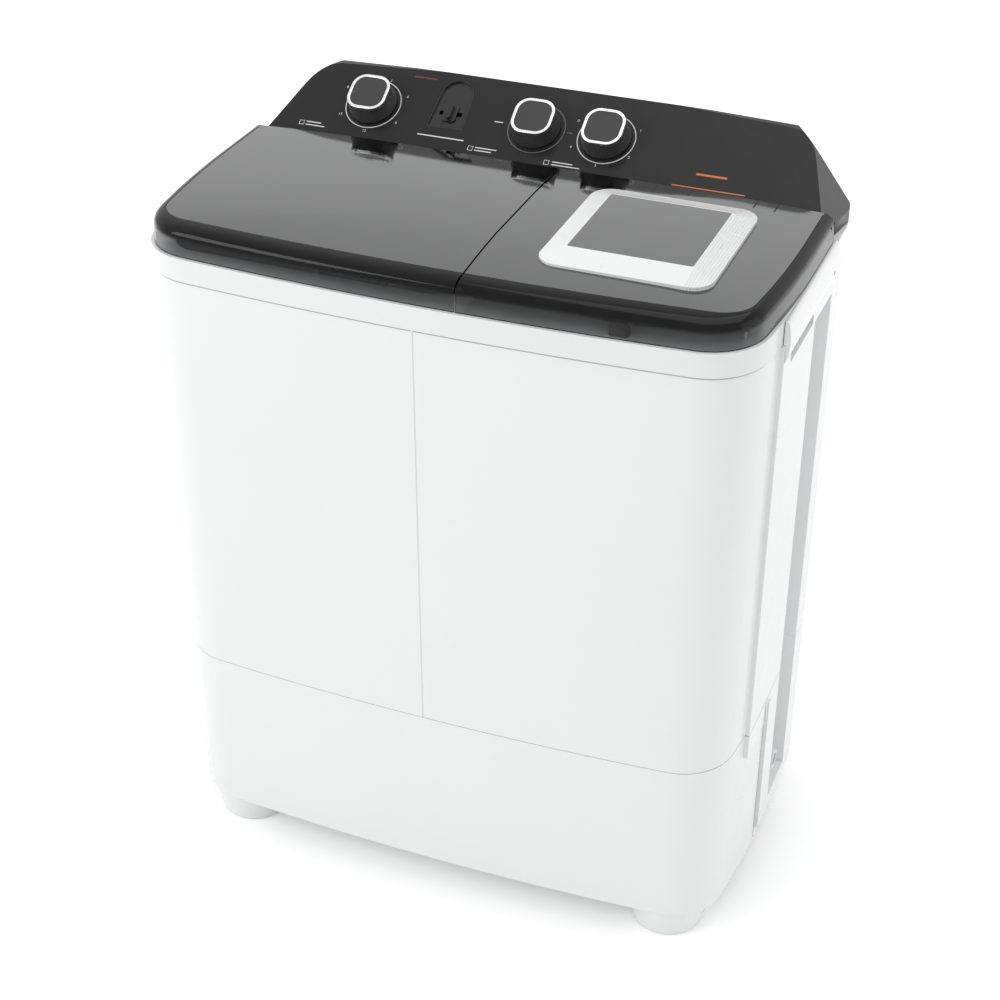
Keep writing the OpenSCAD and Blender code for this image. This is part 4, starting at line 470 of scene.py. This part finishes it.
def printNumber(name, text, x, s, height, finish):
    curve = bpy.data.curves.new(name, "FONT")
    curve.body = text
    curve.size = height * mm * dialPrint["fontScale"]
    curve.align_x = "CENTER"
    curve.align_y = "CENTER"
    holder = bpy.data.objects.new(name + "Curve", curve)
    bpy.context.scene.collection.objects.link(holder)
    bpy.context.view_layer.update()
    mesh = bpy.data.meshes.new_from_object(holder.evaluated_get(bpy.context.evaluated_depsgraph_get()))
    bpy.data.objects.remove(holder)
    mesh.transform(Matrix.Translation(facePoint(x, s) + dialAxis * printLift * mm) @ faceMatrix)
    mesh.materials.clear()
    mesh.materials.append(finishes[finish])
    obj = bpy.data.objects.new(name, mesh)
    bpy.context.scene.collection.objects.link(obj)
    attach(obj, "cabinet")


dialPrint = {"ringRadius": 36.0, "ringWidth": 1.2, "numberHeight": 3.6, "fontScale": 1.4}
# numbers round each dial: (x, s) on the face in mm
dialMarks = {
    "wash_timer_turn": dict(finish="inkWhite", numbers={
        "0": (-275, 74.5), "3": (-221, 93), "6": (-191, 73), "9": (-193, 32), "12": (-230, 14), "15": (-270,
                                                                                                       33.5)}),
    "drain_turn": dict(finish="inkDim", numbers={}),
    "spin_timer_turn": dict(finish="inkWhite", numbers={
        "0": (36, 75), "1": (116, 73.5), "2": (113, 33.5), "3": (76, 15), "4": (38, 36)}),
}
for dial, marks in dialMarks.items():
    printRing(dial + "Ring", dialCentre[dial], dialPrint["ringRadius"], dialPrint["ringWidth"],
              marks["finish"])
    for number, (x, s) in marks["numbers"].items():
        printNumber(f"{dial}Number{number}", number, x, s, dialPrint["numberHeight"], "inkWhite")

# plain strokes where the console carries small print: (x from, x to, s, stroke width, finish)
plainStrokes = [
    (-310, -290, 15.0, 1.4, "inkWhite"), (-310, -284, 10.5, 1.4, "inkWhite"),
    (-160, -98, 21.5, 1.6, "inkWhite"),
    (-80, -52, 14.6, 1.4, "inkWhite"), (-80, -58, 10.5, 1.4, "inkWhite"),
    (22, 48, 11.0, 1.4, "inkWhite"), (22, 58, 7.0, 1.4, "inkWhite"),
    (-68, -57, 56.0, 1.4, "inkWhite"), (27, 34, 55.5, 1.2, "inkDim"),
    (-193, -162, 105.0, 2.2, "inkRed"),
    (200, 238, 25.0, 2.8, "inkOrange"), (175, 265, 5.3, 1.6, "inkOrange"),
]
for i, (x0, x1, s, width, finish) in enumerate(plainStrokes):
    printStroke(f"plainStroke{i}", 0, s, [(x0, 0), (x1, 0)], width, finish)
smallFrame = {"places": ((-316, 12.5), (-86, 12.5), (15, 9.0)), "half": 3.0, "width": 0.8}
framePath = [(x * smallFrame["half"], y * smallFrame["half"])
             for x, y in ((-1, -1), (1, -1), (1, 1), (-1, 1), (-1, -1))]
for i, (x, s) in enumerate(smallFrame["places"]):
    printStroke(f"smallFrame{i}", x, s, framePath, smallFrame["width"], "inkWhite")
print("console printed")


# Dark hinge slits in the rear edge of the spin lid

rayHeight = 2.0  # metres, well above the object


def lidHeight(x, y):
    # drops a ray on the spin lid's top
    hit, place, _, _ = nodes["spin_lid_top"].ray_cast(Vector((x, y, rayHeight)), Vector((0, 0, -1)))
    return place.z if hit else cadBox[1].z


slit = {"xs": (163, 206, 285, 310), "front": 82, "rear": 102.5, "width": 1.8, "lift": 0.15}
for x in slit["xs"]:
    corners = [(x - slit["width"] / 2, slit["front"]), (x + slit["width"] / 2, slit["front"]),
               (x + slit["width"] / 2, slit["rear"]), (x - slit["width"] / 2, slit["rear"])]
    points = [Vector((px * mm, py * mm, lidHeight(px * mm, py * mm) + slit["lift"] * mm)) for px,
              py in corners]
    meshPiece(f"hingeSlit{x}", points, [(0, 1, 2, 3)], "slitDark", "spin_lid")
print("lid detailed")


# White tongue that shows in the upright seam between the two body panels

seamTongue = {"gap": 1.0, "width": 0.9, "sunk": 0.45, "thick": 1.0, "ends": 1.0}


def buildSeamTongue():
    low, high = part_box("right_body_panel")
    middle = low.x - seamTongue["gap"] / 2 * mm
    half = seamTongue["width"] / 2 * mm
    front = low.y + seamTongue["sunk"] * mm
    rear = front + seamTongue["thick"] * mm
    ends = (low.z + seamTongue["ends"] * mm, high.z - seamTongue["ends"] * mm)
    points = [Vector((middle + x, y, z)) for z in ends
              for x, y in ((-half, front), (half, front), (half, rear), (-half, rear))]
    faces = [(0, 1, 5, 4), (1, 2, 6, 5), (2, 3, 7, 6), (3, 0, 4, 7), (0, 3, 2, 1), (4, 5, 6, 7)]
    meshPiece("seamTongue", points, faces, "cabinetWhite")


buildSeamTongue()


# Grey strip under the white band, a painted shadow of the band's overhang, and the dark screw behind each grip

bandShadowLine = {"fromAngle": -14, "toAngle": -166, "steps": 456, "below": 0.6, "height": 1.6, "proud": 0.3,
            "rayBelow": 2.0}
gripScrew = {"y": 94.5, "below": 4.0, "radius": 2.3, "proud": 0.2, "sides": 18}


def nearestHit(names, start, direction):
    best = None
    for name in names:
        hit, place, normal, _ = nodes[name].ray_cast(start, direction)
        if hit and (best is None or (place - start).length < (best[0] - start).length):
            best = (place, normal)
    return best


# painted shadow: a thin grey ribbon just below the band, following the body's outline
def buildBandShadowLine():
    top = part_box("left_body_panel")[1].z
    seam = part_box("right_body_panel")[0].x - seamTongue["gap"] / 2 * mm
    points = []
    for i in range(bandShadowLine["steps"] + 1):
        share = i / bandShadowLine["steps"]
        turn = math.radians(bandShadowLine["fromAngle"] * (1 - share) + bandShadowLine["toAngle"] * share)
        out = Vector((math.cos(turn), math.sin(turn), 0))
        hit = nearestHit(("left_body_panel", "right_body_panel"), out + Vector((0, 0,
                                                                                top - bandShadowLine["rayBelow"] * mm)), -out)
        if hit is None or abs(hit[0].x - seam) < seamTongue["gap"] * mm:
            continue
        place = hit[0] + Vector((hit[1].x, hit[1].y, 0)).normalized() * bandShadowLine["proud"] * mm
        for drop in (bandShadowLine["below"] + bandShadowLine["height"], bandShadowLine["below"]):
            points.append(Vector((place.x, place.y, top - drop * mm)))
    faces = [(2 * i, 2 * i + 1, 2 * i + 3, 2 * i + 2) for i in range(len(points) // 2 - 1)]
    meshPiece("bandShadowLine", points, faces, "seamShadowGrey")


def buildGripScrews():
    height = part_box("left_body_panel")[1].z - gripScrew["below"] * mm
    for label, side in (("Left", -1), ("Right", 1)):
        start = Vector((side, gripScrew["y"] * mm, height))
        place, _ = nearestHit(("left_body_panel", "right_body_panel", "top_frame", "side_grips"), start,
                              Vector((-side, 0, 0)))
        centre = place + Vector((side * gripScrew["proud"] * mm, 0, 0))
        turns = [side * 2 * math.pi * i / gripScrew["sides"] for i in range(gripScrew["sides"])]
        rim = [centre + Vector((0, math.cos(a), math.sin(a))) * gripScrew["radius"] * mm for a in turns]
        meshPiece("gripScrew" + label, rim, [tuple(range(len(rim)))], "slitDark")


buildBandShadowLine()
buildGripScrews()
print("body lines added")


# Floor, light and camera

studio = {"worldLight": 0.78, "floorColour": (0.9, 0.9, 0.9, 1), "floorLift": 0.21, "farLift": 0.25,
          "farFrom": 1.0, "farTo": 3.0, "floorSize": 40.0}
photoView = {"place": (0.7916, -1.9825, 1.825), "pitch": 34.278, "yaw": 21.736, "focalPixels": 1961.9,
             "imagePixels": 1000, "middlePixels": (498.7, 566.7), "sensorWidth": 36.0, "clipEnd": 60.0}


def buildFloor():
    half = studio["floorSize"] / 2
    mesh = bpy.data.meshes.new("floor")
    mesh.from_pydata([(-half, -half, 0), (half, -half, 0), (half, half, 0), (-half, half, 0)], [], [(0, 1,
                                                                                                     2, 3)])
    material = bpy.data.materials.new("floorPale")
    material.use_nodes = True
    tree = material.node_tree
    tree.nodes.remove(tree.nodes["Principled BSDF"])
    matte = addNode(tree, "ShaderNodeBsdfDiffuse")
    matte.inputs["Color"].default_value = studio["floorColour"]
    glow = addNode(tree, "ShaderNodeEmission")
    seen = addSeenRay(tree)
    # the floor fades to plain white away from the object
    coords = addNode(tree, "ShaderNodeTexCoord").outputs["Object"]
    reach = addNode(tree, "ShaderNodeVectorMath", operation="LENGTH")
    tree.links.new(coords, reach.inputs[0])
    fade = addRange(tree, reach.outputs["Value"], studio["farFrom"], studio["farTo"], "SMOOTHSTEP")
    fade.inputs["To Min"].default_value = studio["floorLift"]
    fade.inputs["To Max"].default_value = studio["floorLift"] + studio["farLift"]
    tree.links.new(addMath(tree, "MULTIPLY", seen, fade.outputs["Result"]), glow.inputs["Strength"])
    both = addNode(tree, "ShaderNodeAddShader")
    tree.links.new(matte.outputs[0], both.inputs[0])
    tree.links.new(glow.outputs[0], both.inputs[1])
    tree.links.new(both.outputs[0], tree.nodes["Material Output"].inputs["Surface"])
    mesh.materials.append(material)
    floor = bpy.data.objects.new("floor", mesh)
    bpy.context.scene.collection.objects.link(floor)


def buildWorld():
    world = bpy.data.worlds.new("studio")
    bpy.context.scene.world = world
    world.use_nodes = True
    tree = world.node_tree
    back = tree.nodes["Background"]
    back.inputs["Color"].default_value = (1, 1, 1, 1)
    seen = addSeenRay(tree)
    extra = addMath(tree, "MULTIPLY", seen, 1.0 - studio["worldLight"])
    tree.links.new(addMath(tree, "ADD", extra, studio["worldLight"]), back.inputs["Strength"])


def addSoftbox(name, place, target, size, power):
    light = bpy.data.lights.new(name, "AREA")
    light.shape = "RECTANGLE"
    light.size, light.size_y = size
    light.energy = power
    obj = bpy.data.objects.new(name, light)
    obj.location = place
    obj.rotation_euler = (Vector(target) - Vector(place)).to_track_quat("-Z", "Y").to_euler()
    bpy.context.scene.collection.objects.link(obj)


softboxes = {
    "keyLeft": dict(place=(-2.6, -2.6, 3.0), target=(0, 0, 0.5), size=(2.2, 2.2), power=60),
    "fillTop": dict(place=(0.6, 0.4, 3.6), target=(0, 0, 0.6), size=(2.6, 2.6), power=25),
    "fillRight": dict(place=(3.0, 0.2, 1.4), target=(0, 0, 0.5), size=(2.0, 2.0), power=8),
}


def addCamera():
    camera = bpy.data.cameras.new("photoCamera")
    camera.sensor_width = photoView["sensorWidth"]
    camera.lens = photoView["focalPixels"] / photoView["imagePixels"] * camera.sensor_width
    camera.shift_x = 0.5 - photoView["middlePixels"][0] / photoView["imagePixels"]
    camera.shift_y = photoView["middlePixels"][1] / photoView["imagePixels"] - 0.5
    camera.clip_end = photoView["clipEnd"]
    obj = bpy.data.objects.new("photoCamera", camera)
    obj.location = photoView["place"]
    pitch, yaw = math.radians(photoView["pitch"]), math.radians(photoView["yaw"])
    obj.rotation_euler = (math.pi / 2 - pitch, 0, yaw)
    bpy.context.scene.collection.objects.link(obj)
    bpy.context.scene.camera = obj


buildFloor()
buildWorld()
for name, box in softboxes.items():
    addSoftbox(name, **box)
addCamera()
bpy.context.scene.view_settings.view_transform = "Standard"
print("studio set")
